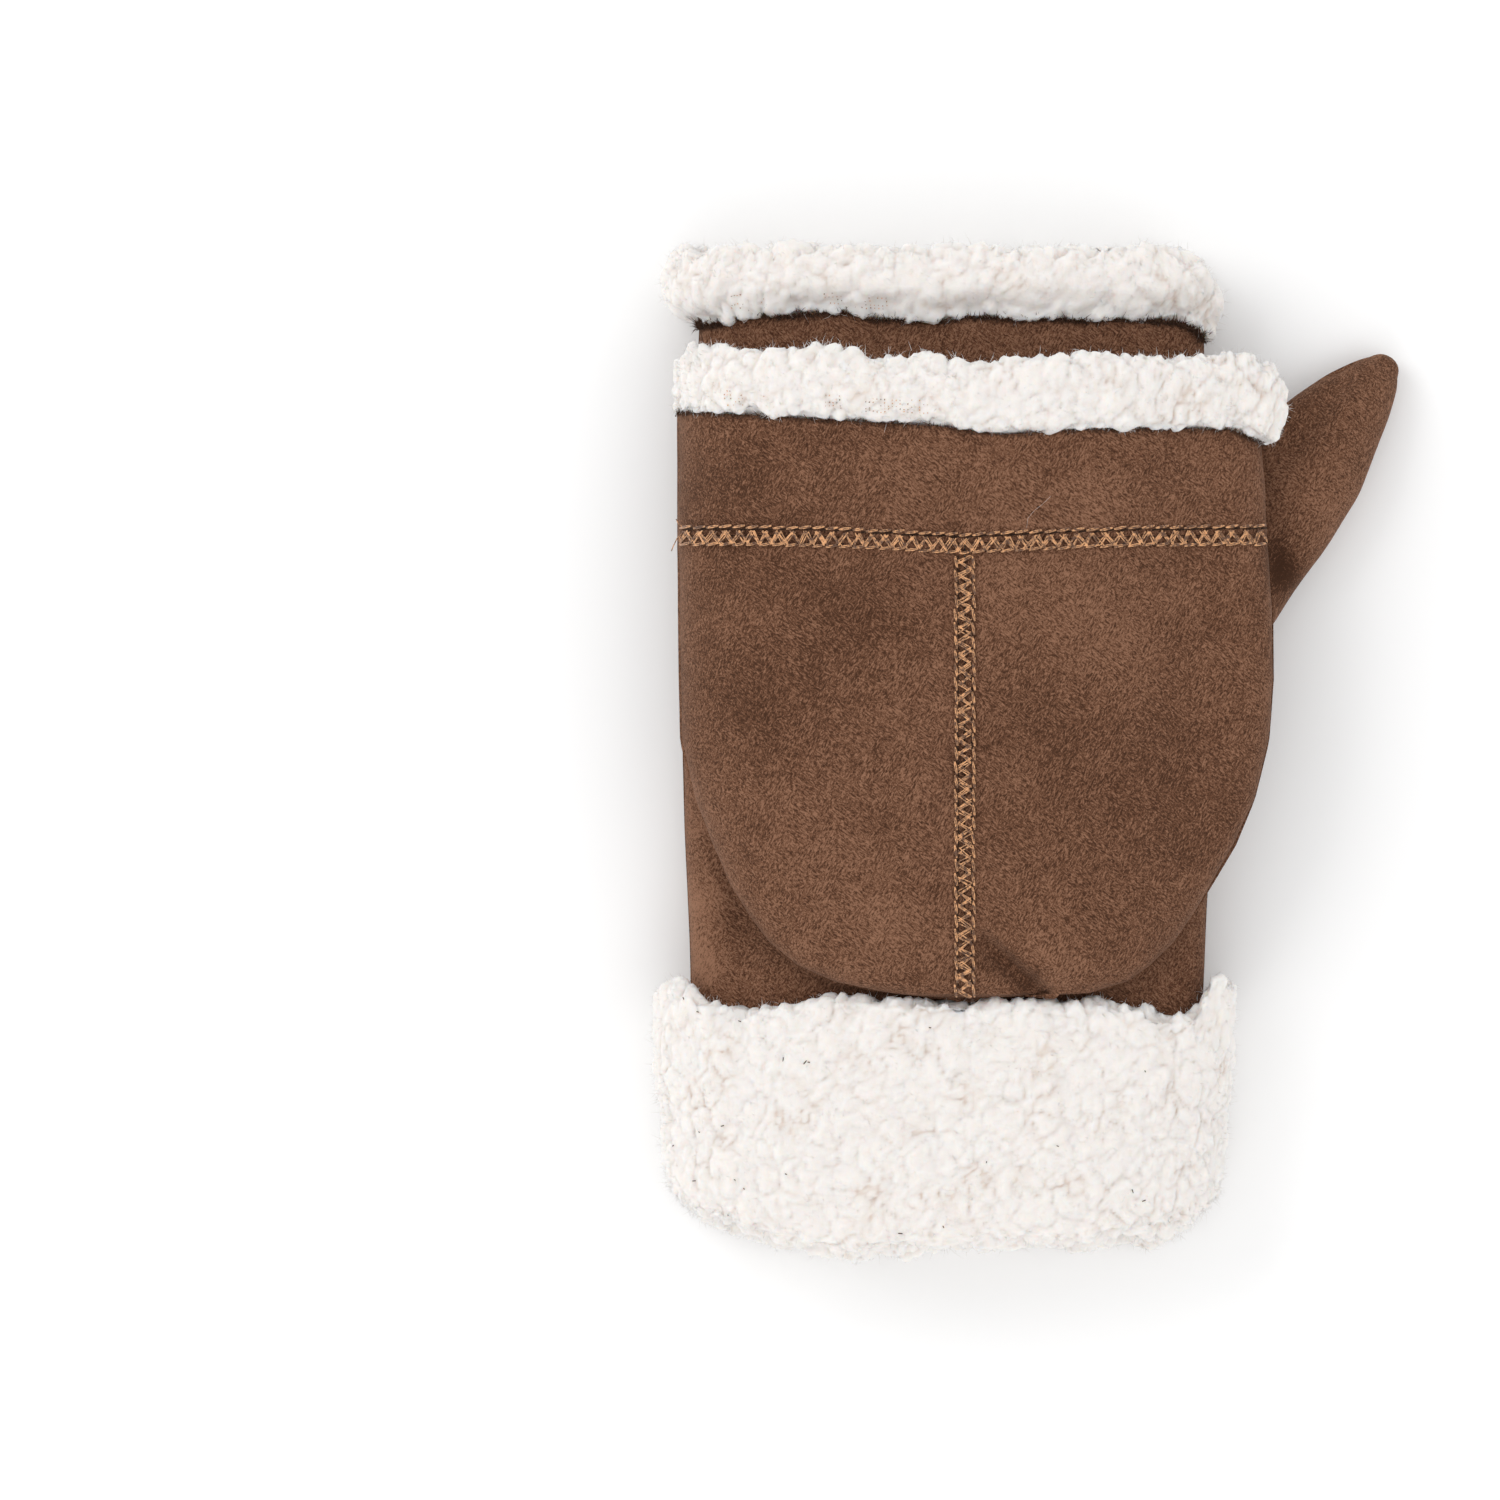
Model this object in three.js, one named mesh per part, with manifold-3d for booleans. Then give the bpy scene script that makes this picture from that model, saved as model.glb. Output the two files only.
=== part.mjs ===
// A flip-top winter mitten for the left hand, lying palm down on a flat surface.
// Brown suede outside, white pile at the finger opening, the hood's mouth and the turned-up cuff,
// and a smooth leather patch under the palm. The hood is folded back over the back of the hand.
// Lengths are millimetres. +X is the thumb side, +Y runs from the wrist to the fingers, +Z is up.

import * as THREE from 'three';
import { mergeVertices } from 'three/addons/utils/BufferGeometryUtils.js';
import Module from 'manifold-3d';

const wasm = await Module();
wasm.setup();

// Cloth and clearances
const suedeWall = 2.0;
const liningPile = 3.6;
const pieceGap = 0.3;
const drapeGap = 0.5;

// The hand: a flattened suede tube, open at the wrist and at the fingers
const handLength = 186.9;
const handWidth = 109.2;
const palmHeight = 20.7;
const wristHeight = 20.4;
const fingerHeight = 18.4;
const wristWidth = 105.8;
const seamLevel = 0.42;
const backRoundness = 2.6;
const palmRoundness = 5;

// The turned-up cuff
const cuffLength = 53;
const cuffPile = 6.8;
const cuffFold = 6.2;
const cuffUnderPile = 5.4;
const cuffInside = 30;
const cuffEase = 26;

// The pile roll round the finger opening
const trimReach = 15;
const trimProud = 3.1;
const trimUnder = 2.6;
const trimDepth = 4.6;
const trimTail = 17;
const fingerEase = 15;

// The hood, folded back
const hoodLength = 118.5;
const hoodWidth = 122.6;
const hoodFromEdge = 21.9;
const hoodSeamShift = 4.4;
const hoodRise = 11;
const hoodUnder = 4;
const hoodLeftShelf = 12.5;
const hoodRoundness = 2.9;
const crossSeam = 23.5;
const hoodTrimReach = 14.6;
const hoodTrimProud = 2.4;
const hoodTrimDepth = 4.4;
const hoodTrimTail = 12;

// The thumb
const thumbLength = 84.5;
const thumbWidth = 28;
const thumbHeight = 18;
const thumbAngle = 53.2;
const thumbTipAcross = 93.2;
const thumbTipAlong = 182.6;

// The palm patch
const patchThickness = 1.0;
const patchLength = 87.6;
const patchLegWidth = 36.5;
const patchLobeLength = 26.6;
const patchLobeWidth = 63;
const patchFromEdge = 7.4;
const patchFromSide = 8.4;

// Pile lumps
const lumpPitch = 11;
const lumpHeight = 1.3;

// How finely the surfaces are cut into flats
const handSides = 32;
const hoodSides = 32;
const thumbSides = 16;
const pileStepsPerSide = 2;

// Lengthwise places
const wristEdge = cuffFold + pieceGap;
const fingerEdge = wristEdge + handLength;
const cuffTop = cuffLength;
const hoodMouth = fingerEdge - hoodFromEdge;

// How far the cut edges and the wrist fold move along the hand at each side, as shares of trimReach.
// turn runs once round the hand from the thumb side over the back; reach is how wide the move is.
const edgeMoves = [
  { edge: 'finger', turn: 0.0, reach: 0.055, move: -0.26 },
  { edge: 'finger', turn: 0.46, reach: 0.06, move: -0.06 },
  { edge: 'wrist', turn: 0.0, reach: 0.055, move: 0.66 },
  { edge: 'wrist', turn: 0.12, reach: 0.06, move: 0.22 },
  { edge: 'wrist', turn: 0.5, reach: 0.05, move: 0.5 },
  { edge: 'wrist', turn: 0.41, reach: 0.04, move: 0.16 },
];

// Soft folds in the back of the hand, as shares of half the hand's width, its length and its height.
const handFolds = [
  { across: -0.76, along: 0.33, spanAcross: 0.1, spanAlong: 0.12, depth: 0.12 },
  { across: 0.84, along: 0.29, spanAcross: 0.08, spanAlong: 0.06, depth: 0.06 },
];

// The hood's outline and height from its mouth to its tip.
// left and right are reaches from the middle seam as shares of half the hood's width, rise is a share.
const hoodRows = [
  { along: 0.0, left: 0.966, right: 1.0, rise: 0.98 },
  { along: 0.1, left: 0.965, right: 1.014, rise: 1.0 },
  { along: 0.2, left: 0.963, right: 1.024, rise: 1.0 },
  { along: 0.32, left: 0.962, right: 1.034, rise: 1.0 },
  { along: 0.44, left: 0.96, right: 1.034, rise: 1.0 },
  { along: 0.55, left: 0.955, right: 1.02, rise: 1.0 },
  { along: 0.65, left: 0.926, right: 0.98, rise: 0.99 },
  { along: 0.73, left: 0.868, right: 0.918, rise: 0.97 },
  { along: 0.795, left: 0.809, right: 0.842, rise: 0.94 },
  { along: 0.852, left: 0.737, right: 0.773, rise: 0.89 },
  { along: 0.9, left: 0.66, right: 0.706, rise: 0.81 },
  { along: 0.94, left: 0.565, right: 0.63, rise: 0.7 },
  { along: 0.97, left: 0.43, right: 0.55, rise: 0.56 },
  { along: 0.99, left: 0.23, right: 0.42, rise: 0.4 },
  { along: 1.0, left: 0.0, right: 0.0, rise: 0.0 },
];

// Dents and swells of the hood's upper side. across is a share of half the hood's width from the
// middle seam, along a share of its length, the spans likewise, depth a share of its rise.
const hoodDents = [
  { across: 0.13, along: 0.92, spanAcross: 0.11, spanAlong: 0.075, depth: 0.3 },
  { across: -0.15, along: 0.93, spanAcross: 0.14, spanAlong: 0.05, depth: 0.12 },
  { across: 0.3, along: 0.66, spanAcross: 0.3, spanAlong: 0.06, depth: 0.1 },
  { across: -0.4, along: 0.3, spanAcross: 0.25, spanAlong: 0.12, depth: 0.08 },
  { across: 0.36, along: 0.4, spanAcross: 0.26, spanAlong: 0.12, depth: -0.07 },
];

// The thumb from its base to its tip: half width and sideways bow as shares of half its width,
// underside and height as shares of its height.
const thumbRows = [
  { along: 0.0, half: 1.0, bow: 0.21, under: 0.24, height: 0.7 },
  { along: 0.2, half: 1.0, bow: 0.21, under: 0.22, height: 0.72 },
  { along: 0.34, half: 1.0, bow: 0.21, under: 0.11, height: 0.85 },
  { along: 0.47, half: 1.0, bow: 0.21, under: 0.03, height: 0.95 },
  { along: 0.58, half: 0.97, bow: 0.22, under: 0.0, height: 1.0 },
  { along: 0.69, half: 0.9, bow: 0.24, under: 0.0, height: 0.96 },
  { along: 0.78, half: 0.76, bow: 0.235, under: 0.0, height: 0.87 },
  { along: 0.88, half: 0.56, bow: 0.19, under: 0.0, height: 0.7 },
  { along: 0.95, half: 0.38, bow: 0.165, under: 0.04, height: 0.48 },
  { along: 0.985, half: 0.22, bow: 0.16, under: 0.12, height: 0.26 },
  { along: 1.0, half: 0.0, bow: 0.16, under: 0.24, height: 0.0 },
];

// The dent where the thumb folds under the hood's edge, as shares of its length, half width, height.
const thumbDent = { along: 0.6, across: -0.35, spanAlong: 0.07, spanAcross: 0.4, depth: 0.13 };

const colours = {
  suede: 0x70503c,
  pile: 0xf0ece6,
  patch: 0x836455,
};

function mix(from, to, share) {
  return from + (to - from) * share;
}

function smooth(value, start, end) {
  const share = Math.min(Math.max((value - start) / (end - start), 0), 1);
  return share * share * (3 - 2 * share);
}

function bell(distance, span) {
  return Math.exp(-((distance / span) ** 2));
}

/** The row of a table at a place along it, with straight lines between the rows. */
function rowAt(rows, along) {
  const last = rows.length - 1;
  let index = 0;
  while (index < last - 1 && along > rows[index + 1].along) {
    index += 1;
  }
  const low = rows[index];
  const high = rows[index + 1];
  const share = Math.min(Math.max((along - low.along) / (high.along - low.along), 0), 1);
  const made = {};
  for (const key of Object.keys(low)) {
    made[key] = mix(low[key], high[key], share);
  }
  return made;
}

/** Height share of a rounded section at a width share between -1 and 1. */
function roundShare(across, roundness) {
  return Math.max(1 - Math.abs(across) ** roundness, 0) ** (1 / roundness);
}

/** Half width, side seam height, rise above it and drop below it, at a place along the hand. */
function handSection(along) {
  const pastCuff = smooth(along, cuffTop, cuffTop + cuffEase);
  const atFingers = smooth(along, fingerEdge - fingerEase, fingerEdge);
  const palmUnder = mix(cuffUnderPile, patchThickness, pastCuff);
  const under = mix(palmUnder, trimUnder, atFingers) + pieceGap;
  const height = mix(mix(wristHeight, palmHeight, pastCuff), fingerHeight, atFingers);
  const widening = smooth(along, cuffTop, cuffTop + 2 * cuffEase);
  return {
    half: mix(wristWidth, handWidth, widening) / 2,
    seam: under + height * seamLevel,
    rise: height * (1 - seamLevel),
    drop: height * seamLevel,
  };
}

/** How far the edges move lengthwise at a turn round the hand. */
function edgeMove(turn, along) {
  let move = 0;
  for (const row of edgeMoves) {
    const around = Math.abs(turn - row.turn);
    const distance = Math.min(around, 1 - around);
    const nearness = row.edge === 'finger'
      ? smooth(along, fingerEdge - 2 * fingerEase, fingerEdge)
      : 1 - smooth(along, wristEdge, cuffTop);
    move += row.move * trimReach * bell(distance, row.reach) * nearness;
  }
  return move;
}

function handFoldDepth(across, along) {
  let depth = 0;
  for (const fold of handFolds) {
    const sideways = bell(across / (handWidth / 2) - fold.across, fold.spanAcross);
    const lengthwise = bell((along - wristEdge) / handLength - fold.along, fold.spanAlong);
    depth += fold.depth * palmHeight * sideways * lengthwise;
  }
  return depth;
}

/** A corner of the hand's many-sided section, at an offset from its outer surface. */
function handCorner(corner, along, offset) {
  const section = handSection(along);
  const angle = (2 * Math.PI * corner) / handSides;
  const across = Math.cos(angle);
  const isBack = corner <= handSides / 2;
  const share = roundShare(across, isBack ? backRoundness : palmRoundness);
  const x = across * (section.half + offset);
  const height = isBack ? section.rise + offset : -(section.drop + offset);
  const fold = isBack ? handFoldDepth(x, along) * share : 0;
  const y = along + edgeMove(corner / handSides, along);
  return new THREE.Vector3(x, y, section.seam + height * share - fold);
}

/** A point of the hand's surface: turn 0 is the thumb side, 0.25 the back, 0.75 the palm. */
function handPoint(turn, along, offset) {
  const whole = turn - Math.floor(turn);
  const place = whole * handSides;
  const corner = Math.min(Math.floor(place), handSides - 1);
  const point = handCorner(corner, along, offset);
  return point.lerp(handCorner(corner + 1, along, offset), place - corner);
}

/** Height of the back of the hand over the floor, without its folds. */
function backHeight(across, along) {
  const section = handSection(along);
  const share = Math.min(Math.abs(across) / section.half, 1);
  return section.seam + section.rise * roundShare(share, backRoundness);
}

/** Height of the surface that the hood lies on: the back of the hand, or the thumb beside it. */
function drapeHeight(across, along) {
  const back = backHeight(across, along) + drapeGap;
  const thumbShelf = thumbHeight + drapeGap;
  const shelf = mix(hoodLeftShelf, thumbShelf, smooth(across, 0, 0.38 * handWidth));
  const difference = back - shelf;
  const softness = pieceGap * 6;
  return (back + shelf + Math.sqrt(difference ** 2 + softness ** 2)) / 2;
}

function hoodDentDepth(across, share) {
  let depth = 0;
  for (const dent of hoodDents) {
    const sideways = bell(across / (hoodWidth / 2) - dent.across, dent.spanAcross);
    depth += dent.depth * hoodRise * sideways * bell(share - dent.along, dent.spanAlong);
  }
  return depth;
}

/** A corner of the hood's section, on its upper side or, where side is -1, on its underside. */
function hoodCorner(corner, share, offset, side) {
  const row = rowAt(hoodRows, share);
  const angle = (2 * Math.PI * corner) / hoodSides;
  const across = Math.cos(angle);
  const height = roundShare(across, hoodRoundness);
  const reach = (across > 0 ? row.right : row.left) * (hoodWidth / 2);
  const sideways = across * Math.max(reach + (reach > 0 ? offset : 0), 0);
  const x = hoodSeamShift + sideways;
  const along = hoodMouth - share * (hoodLength + offset);
  const base = drapeHeight(x, along) + hoodUnder * mix(0.4, 1, row.rise);
  const full = (side > 0 ? hoodRise : hoodUnder) * row.rise;
  const dent = side > 0 ? hoodDentDepth(sideways, share) * height * row.rise : 0;
  const outwards = Math.max(full + offset, full / 4) * height - dent + pieceGap / 2;
  return new THREE.Vector3(x, along, base + side * outwards);
}

/** A point of the hood: turn 0 is its thumb side, 0.25 the middle seam on top, 0.75 its underside. */
function hoodPoint(turn, share, offset, side = 1) {
  const place = turn * hoodSides;
  const corner = Math.min(Math.floor(place), hoodSides - 1);
  const point = hoodCorner(corner, share, offset, side);
  return point.lerp(hoodCorner(corner + 1, share, offset, side), place - corner);
}

/** A point of the thumb at a turn round it, a share along it and an offset from its outer surface. */
function thumbPoint(turn, share, offset) {
  const row = rowAt(thumbRows, share);
  const angle = 2 * Math.PI * turn;
  const across = Math.cos(angle);
  const half = (row.half * thumbWidth) / 2;
  const height = (row.height * thumbHeight) / 2;
  const sideways = across * Math.max(half + (half > 0 ? offset : 0), 0);
  const upward = Math.sin(angle) * Math.max(height + (height > 0 ? offset : 0), 0);
  const fromTip = (share - 1) * (thumbLength + offset);
  const bow = (row.bow * thumbWidth) / 2;
  const direction = THREE.MathUtils.degToRad(thumbAngle);
  const ahead = new THREE.Vector3(Math.cos(direction), Math.sin(direction), 0);
  const aside = new THREE.Vector3(-Math.sin(direction), Math.cos(direction), 0);
  const dentAcross = bell(across - thumbDent.across, thumbDent.spanAcross);
  const dentAlong = bell(share - thumbDent.along, thumbDent.spanAlong);
  const dent = thumbDent.depth * thumbHeight * dentAcross * dentAlong;
  const middle = row.under * thumbHeight + height;
  const tip = new THREE.Vector3(thumbTipAcross, thumbTipAlong, 0);
  return tip
    .addScaledVector(ahead, fromTip + offset)
    .addScaledVector(aside, bow + sideways)
    .setZ(middle + upward - (upward > 0 ? dent : 0));
}

/** Lumps of pile, from 0 to 1, with whole numbers of waves round the hand. */
function lump(turn, along) {
  const waves = Math.max(Math.round((2 * handWidth) / lumpPitch), 3);
  const swayAround = 1.7 * Math.sin((Math.PI * along) / lumpPitch);
  const swayAlong = 2.1 * Math.sin(2 * Math.PI * turn * 5);
  const around = Math.sin(2 * Math.PI * turn * waves + swayAround);
  const lengthwise = Math.sin((2 * Math.PI * along) / lumpPitch + swayAlong);
  return 0.5 + 0.5 * around * lengthwise;
}

/** A mesh geometry from points and quads, with doubled points joined and facing outwards. */
function closedGeometry(points, quads) {
  const flat = [];
  for (const [a, b, c, d] of quads) {
    for (const corner of [a, b, c, a, c, d]) {
      flat.push(points[corner].x, points[corner].y, points[corner].z);
    }
  }
  const loose = new THREE.BufferGeometry();
  loose.setAttribute('position', new THREE.Float32BufferAttribute(flat, 3));
  const merged = mergeVertices(loose, 1e-3);
  const index = merged.getIndex();
  const kept = [];
  for (let i = 0; i < index.count; i += 3) {
    const [a, b, c] = [index.getX(i), index.getX(i + 1), index.getX(i + 2)];
    if (a !== b && b !== c && c !== a) {
      kept.push([a, b, c]);
    }
  }
  const facesOut = signedVolume(merged.getAttribute('position'), kept) > 0;
  merged.setIndex(kept.flatMap(([a, b, c]) => (facesOut ? [a, b, c] : [a, c, b])));
  return merged;
}

function signedVolume(position, triangles) {
  const corners = [new THREE.Vector3(), new THREE.Vector3(), new THREE.Vector3()];
  let volume = 0;
  for (const triangle of triangles) {
    triangle.forEach((point, i) => corners[i].fromBufferAttribute(position, point));
    volume += corners[0].dot(corners[1].clone().cross(corners[2])) / 6;
  }
  return volume;
}

/** A solid wall between an outer and an inner sheet, both on the same grid, closed at its rims. */
function wallGeometry(columns, rows, outer, inner, isRing = false) {
  const points = [];
  for (const sheet of [outer, inner]) {
    for (let j = 0; j <= rows; j += 1) {
      for (let i = 0; i <= columns; i += 1) {
        points.push(sheet(i, j));
      }
    }
  }
  const at = (layer, i, j) => (layer * (rows + 1) + j) * (columns + 1) + i;
  const quads = [];
  for (let j = 0; j < rows; j += 1) {
    for (let i = 0; i < columns; i += 1) {
      quads.push([at(0, i, j), at(0, i + 1, j), at(0, i + 1, j + 1), at(0, i, j + 1)]);
      quads.push([at(1, i, j), at(1, i, j + 1), at(1, i + 1, j + 1), at(1, i + 1, j)]);
    }
    if (!isRing) {
      quads.push([at(0, 0, j), at(0, 0, j + 1), at(1, 0, j + 1), at(1, 0, j)]);
      quads.push([at(0, columns, j), at(1, columns, j), at(1, columns, j + 1), at(0, columns, j + 1)]);
    }
  }
  for (let i = 0; i < columns; i += 1) {
    quads.push([at(0, i, 0), at(1, i, 0), at(1, i + 1, 0), at(0, i + 1, 0)]);
    quads.push([at(0, i, rows), at(0, i + 1, rows), at(1, i + 1, rows), at(1, i, rows)]);
  }
  return closedGeometry(points, quads);
}

/** A closed profile carried along a path: in a ring, or between two ends that come to a point. */
function sweptGeometry(steps, profileSize, isRing, point) {
  const rings = isRing ? steps : steps + 1;
  const points = [];
  for (let i = 0; i < rings; i += 1) {
    for (let j = 0; j < profileSize; j += 1) {
      points.push(point(i, j));
    }
  }
  const at = (i, j) => (i % rings) * profileSize + (j % profileSize);
  const quads = [];
  for (let i = 0; i < steps; i += 1) {
    for (let j = 0; j < profileSize; j += 1) {
      quads.push([at(i, j), at(i + 1, j), at(i + 1, j + 1), at(i, j + 1)]);
    }
  }
  return closedGeometry(points, quads);
}

/** The space inside the hand, closed at both ends, for cutting the thumb's base to the wall. */
function handCore(offset) {
  const rows = handStations.length - 1;
  const rim = (i, j) => handPoint(i / handSides, handStations[j], offset);
  const middle = (i, j) => {
    const along = handStations[j];
    return new THREE.Vector3(0, along, handSection(along).seam);
  };
  return wallGeometry(handSides, rows, rim, middle, true);
}

function solidOf(geometry) {
  const mesh = new wasm.Mesh({
    numProp: 3,
    vertProperties: new Float32Array(geometry.getAttribute('position').array),
    triVerts: new Uint32Array(geometry.getIndex().array),
  });
  return new wasm.Manifold(mesh);
}

function geometryOf(solid) {
  const mesh = solid.getMesh();
  const geometry = new THREE.BufferGeometry();
  geometry.setAttribute('position', new THREE.BufferAttribute(new Float32Array(mesh.vertProperties), 3));
  geometry.setIndex(Array.from(mesh.triVerts));
  return geometry;
}

/** Places spread evenly from start to end, both included. */
function spread(start, end, steps) {
  return Array.from({ length: steps + 1 }, (_, i) => mix(start, end, i / steps));
}

// Where the hand's sections lie: plain inside the cuff, close together where the shape changes
const fingerStations = spread(fingerEdge - fingerEase, fingerEdge, 3);
const handStations = [
  wristEdge,
  cuffInside,
  ...spread(cuffTop, cuffTop + cuffEase, 5),
  ...spread(cuffTop + cuffEase, fingerEdge - 2 * fingerEase, 6).slice(1),
  fingerEdge - 1.5 * fingerEase,
  ...fingerStations,
];

/** Half of the hand's tube, over the back or under the palm, with room left at the side seams. */
function handPanel(startTurn, lift) {
  const columns = handSides / 2;
  const sheet = (offset) => (i, j) => {
    const point = handPoint(startTurn + (0.5 * i) / columns, handStations[j], offset);
    const isRim = i === 0 || i === columns;
    point.z += isRim ? (lift * pieceGap) / 2 : 0;
    return point;
  };
  return wallGeometry(columns, handStations.length - 1, sheet(0), sheet(-suedeWall));
}

function thumbWall() {
  const rows = thumbRows.length - 1;
  const sheet = (offset) => (i, j) => thumbPoint(i / thumbSides, thumbRows[j].along, offset);
  return wallGeometry(thumbSides, rows, sheet(0), sheet(-suedeWall), true);
}

/** The thumb as a full body, a little larger, for cutting its hole in the hand. */
function thumbCutter() {
  const rows = thumbRows.length - 1;
  const outer = (i, j) => thumbPoint(i / thumbSides, thumbRows[j].along, pieceGap);
  const middle = (i, j) => thumbPoint(0, thumbRows[j].along, pieceGap)
    .lerp(thumbPoint(0.5, thumbRows[j].along, pieceGap), 0.5);
  return wallGeometry(thumbSides, rows, outer, middle, true);
}

/** A panel of the hood between two turns and two places along it. */
function hoodPanel(startTurn, endTurn, columns, places, sideGaps) {
  const side = startTurn < 0.5 ? 1 : -1;
  const sheet = (offset) => (i, j) => {
    const turn = mix(startTurn, endTurn, i / columns);
    const point = hoodPoint(turn, places[j], offset, side);
    if (i === 0) {
      point.x += sideGaps.start;
    }
    if (i === columns) {
      point.x += sideGaps.end;
    }
    return point;
  };
  return wallGeometry(columns, places.length - 1, sheet(0), sheet(-suedeWall));
}

const seamShare = crossSeam / hoodLength;
const halfSeamGap = pieceGap / 2 / hoodLength;
const pastSeam = hoodRows.map((row) => row.along).filter((along) => along > seamShare + 0.05);
const lowerPlaces = [0, seamShare / 2, seamShare, ...pastSeam];
const bandPlaces = [0, seamShare / 2, seamShare - halfSeamGap];
const panelPlaces = [seamShare + halfSeamGap, ...pastSeam];

// Pile profiles. along is a place on the hand, offset is measured out from the suede's surface,
// lumpy is the share of the lumps' height that is added there.
function cuffProfile() {
  const inner = suedeWall + pieceGap;
  const fullness = (along) => mix(0.8, 1, smooth(along, 0, 2.5 * cuffFold)) * cuffPile;
  const outside = spread(cuffTop - 5, cuffFold - 1, 8)
    .map((along) => ({ along, offset: fullness(along), lumpy: 1 }));
  return [
    { along: wristEdge - pieceGap, offset: pieceGap, lumpy: 0 },
    { along: cuffInside, offset: pieceGap, lumpy: 0 },
    { along: cuffTop - 1, offset: pieceGap, lumpy: 0 },
    { along: cuffTop, offset: 0.35 * cuffPile, lumpy: 0.1 },
    { along: cuffTop - 1, offset: 0.75 * cuffPile, lumpy: 0.5 },
    ...outside,
    { along: 0.35 * cuffFold, offset: 0.66 * cuffPile, lumpy: 0.6 },
    { along: 0, offset: 0.1 * cuffPile, lumpy: 0.2 },
    { along: 0.1 * cuffFold, offset: -inner, lumpy: 0 },
    { along: 0.6 * cuffFold, offset: -inner - 0.8 * liningPile, lumpy: 0 },
    { along: 1.6 * cuffFold, offset: -inner - liningPile, lumpy: 0 },
    { along: cuffInside - 0.5 * liningPile, offset: -inner - liningPile, lumpy: 0 },
    { along: cuffInside, offset: -inner - 0.5 * liningPile, lumpy: 0 },
    { along: cuffInside - 0.3 * liningPile, offset: -inner, lumpy: 0 },
    { along: wristEdge - pieceGap, offset: -inner, lumpy: 0 },
  ];
}

/** The roll of pile past a cut edge, with its tail inside: steps are distances past the edge. */
function rollProfile(reach, proud, depth, tail, tailSteps, clearance) {
  const inner = suedeWall + clearance;
  return [
    ...tailSteps.map((past) => ({ past, offset: -inner, lumpy: 0 })),
    { past: pieceGap, offset: -inner, lumpy: 0 },
    { past: pieceGap, offset: 0.4 * proud, lumpy: 0 },
    { past: 0.14 * reach, offset: proud, lumpy: 0.6 },
    { past: 0.45 * reach, offset: 1.1 * proud, lumpy: 1 },
    { past: 0.78 * reach, offset: 0.8 * proud, lumpy: 1 },
    { past: reach, offset: 0, lumpy: 0.6 },
    { past: 0.93 * reach, offset: -0.6 * depth, lumpy: 0 },
    { past: 0.6 * reach, offset: -depth, lumpy: 0 },
    { past: 0, offset: -inner - liningPile, lumpy: 0 },
    { past: -0.6 * tail, offset: -inner - liningPile, lumpy: 0 },
    { past: -0.95 * tail, offset: -inner - 0.6 * liningPile, lumpy: 0 },
  ];
}

/** Pile in a ring round the hand, flat where it meets the floor. */
function pileRing(profile) {
  const steps = handSides * pileStepsPerSide;
  return sweptGeometry(steps, profile.length, true, (i, j) => {
    const { along, offset, lumpy } = profile[j];
    const turn = i / steps;
    const added = lumpy * lumpHeight * lump(turn, along);
    const point = handPoint(turn, along, offset + added);
    point.z = Math.max(point.z, 0);
    return point;
  });
}

function fingerTrim() {
  const tailSteps = [-trimTail, -fingerEase, -fingerEase * (2 / 3), -fingerEase / 3];
  const profile = rollProfile(trimReach, trimProud, trimDepth, trimTail, tailSteps, pieceGap);
  return pileRing(profile.map((row) => ({ ...row, along: fingerEdge + row.past })));
}

/** Pile along the hood's mouth, over its upper side only, rounded off at both ends. */
function hoodTrim() {
  const steps = (hoodSides / 2) * pileStepsPerSide;
  const tailSteps = [-hoodTrimTail, -hoodTrimTail / 2];
  const profile = rollProfile(hoodTrimReach, hoodTrimProud, hoodTrimDepth, hoodTrimTail, tailSteps, drapeGap);
  const endShares = [0, 0.72, 1];
  return sweptGeometry(steps, profile.length, false, (i, j) => {
    const { past, offset, lumpy } = profile[j];
    const fromEnd = Math.min(i, steps - i);
    const kept = endShares[Math.min(fromEnd, 2)];
    const share = (-past * kept - (1 - kept) * 0.4 * hoodTrimReach) / hoodLength;
    const added = lumpy * lumpHeight * lump(i / steps / 2, past + hoodMouth);
    const middle = -suedeWall;
    const point = hoodPoint((0.5 * i) / steps, share, mix(middle, offset + added, kept));
    return point;
  });
}

/** The leather patch: a leg down the little-finger side of the palm and a lobe towards the thumb. */
function palmPatch() {
  const top = fingerEdge - patchFromEdge;
  const left = -handWidth / 2 + patchFromSide;
  const legRight = left + patchLegWidth;
  const lobeRight = left + patchLobeWidth;
  const bottom = top - patchLength;
  const lobeBottom = top - patchLobeLength;
  const corner = 0.42 * patchLegWidth;
  const lobeRound = patchLobeLength / 2;
  const crook = 0.3 * patchLobeLength;
  const outline = new THREE.Shape();
  outline.moveTo(left + corner, top);
  outline.absarc(left + corner, top - corner, corner, Math.PI / 2, Math.PI, false);
  outline.absarc(left + corner, bottom + corner, corner, Math.PI, 1.5 * Math.PI, false);
  outline.absarc(legRight - corner, bottom + corner, corner, 1.5 * Math.PI, 2 * Math.PI, false);
  outline.absarc(legRight + crook, lobeBottom - crook, crook, Math.PI, Math.PI / 2, true);
  outline.absarc(lobeRight - lobeRound, top - lobeRound, lobeRound, -Math.PI / 2, Math.PI / 2, false);
  outline.closePath();
  const plate = new THREE.ExtrudeGeometry(outline, {
    depth: patchThickness,
    bevelEnabled: false,
    curveSegments: 7,
  });
  plate.deleteAttribute('normal');
  plate.deleteAttribute('uv');
  return mergeVertices(plate, 1e-3);
}

const mitten = new THREE.Group();
mitten.name = 'mitten';

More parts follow.
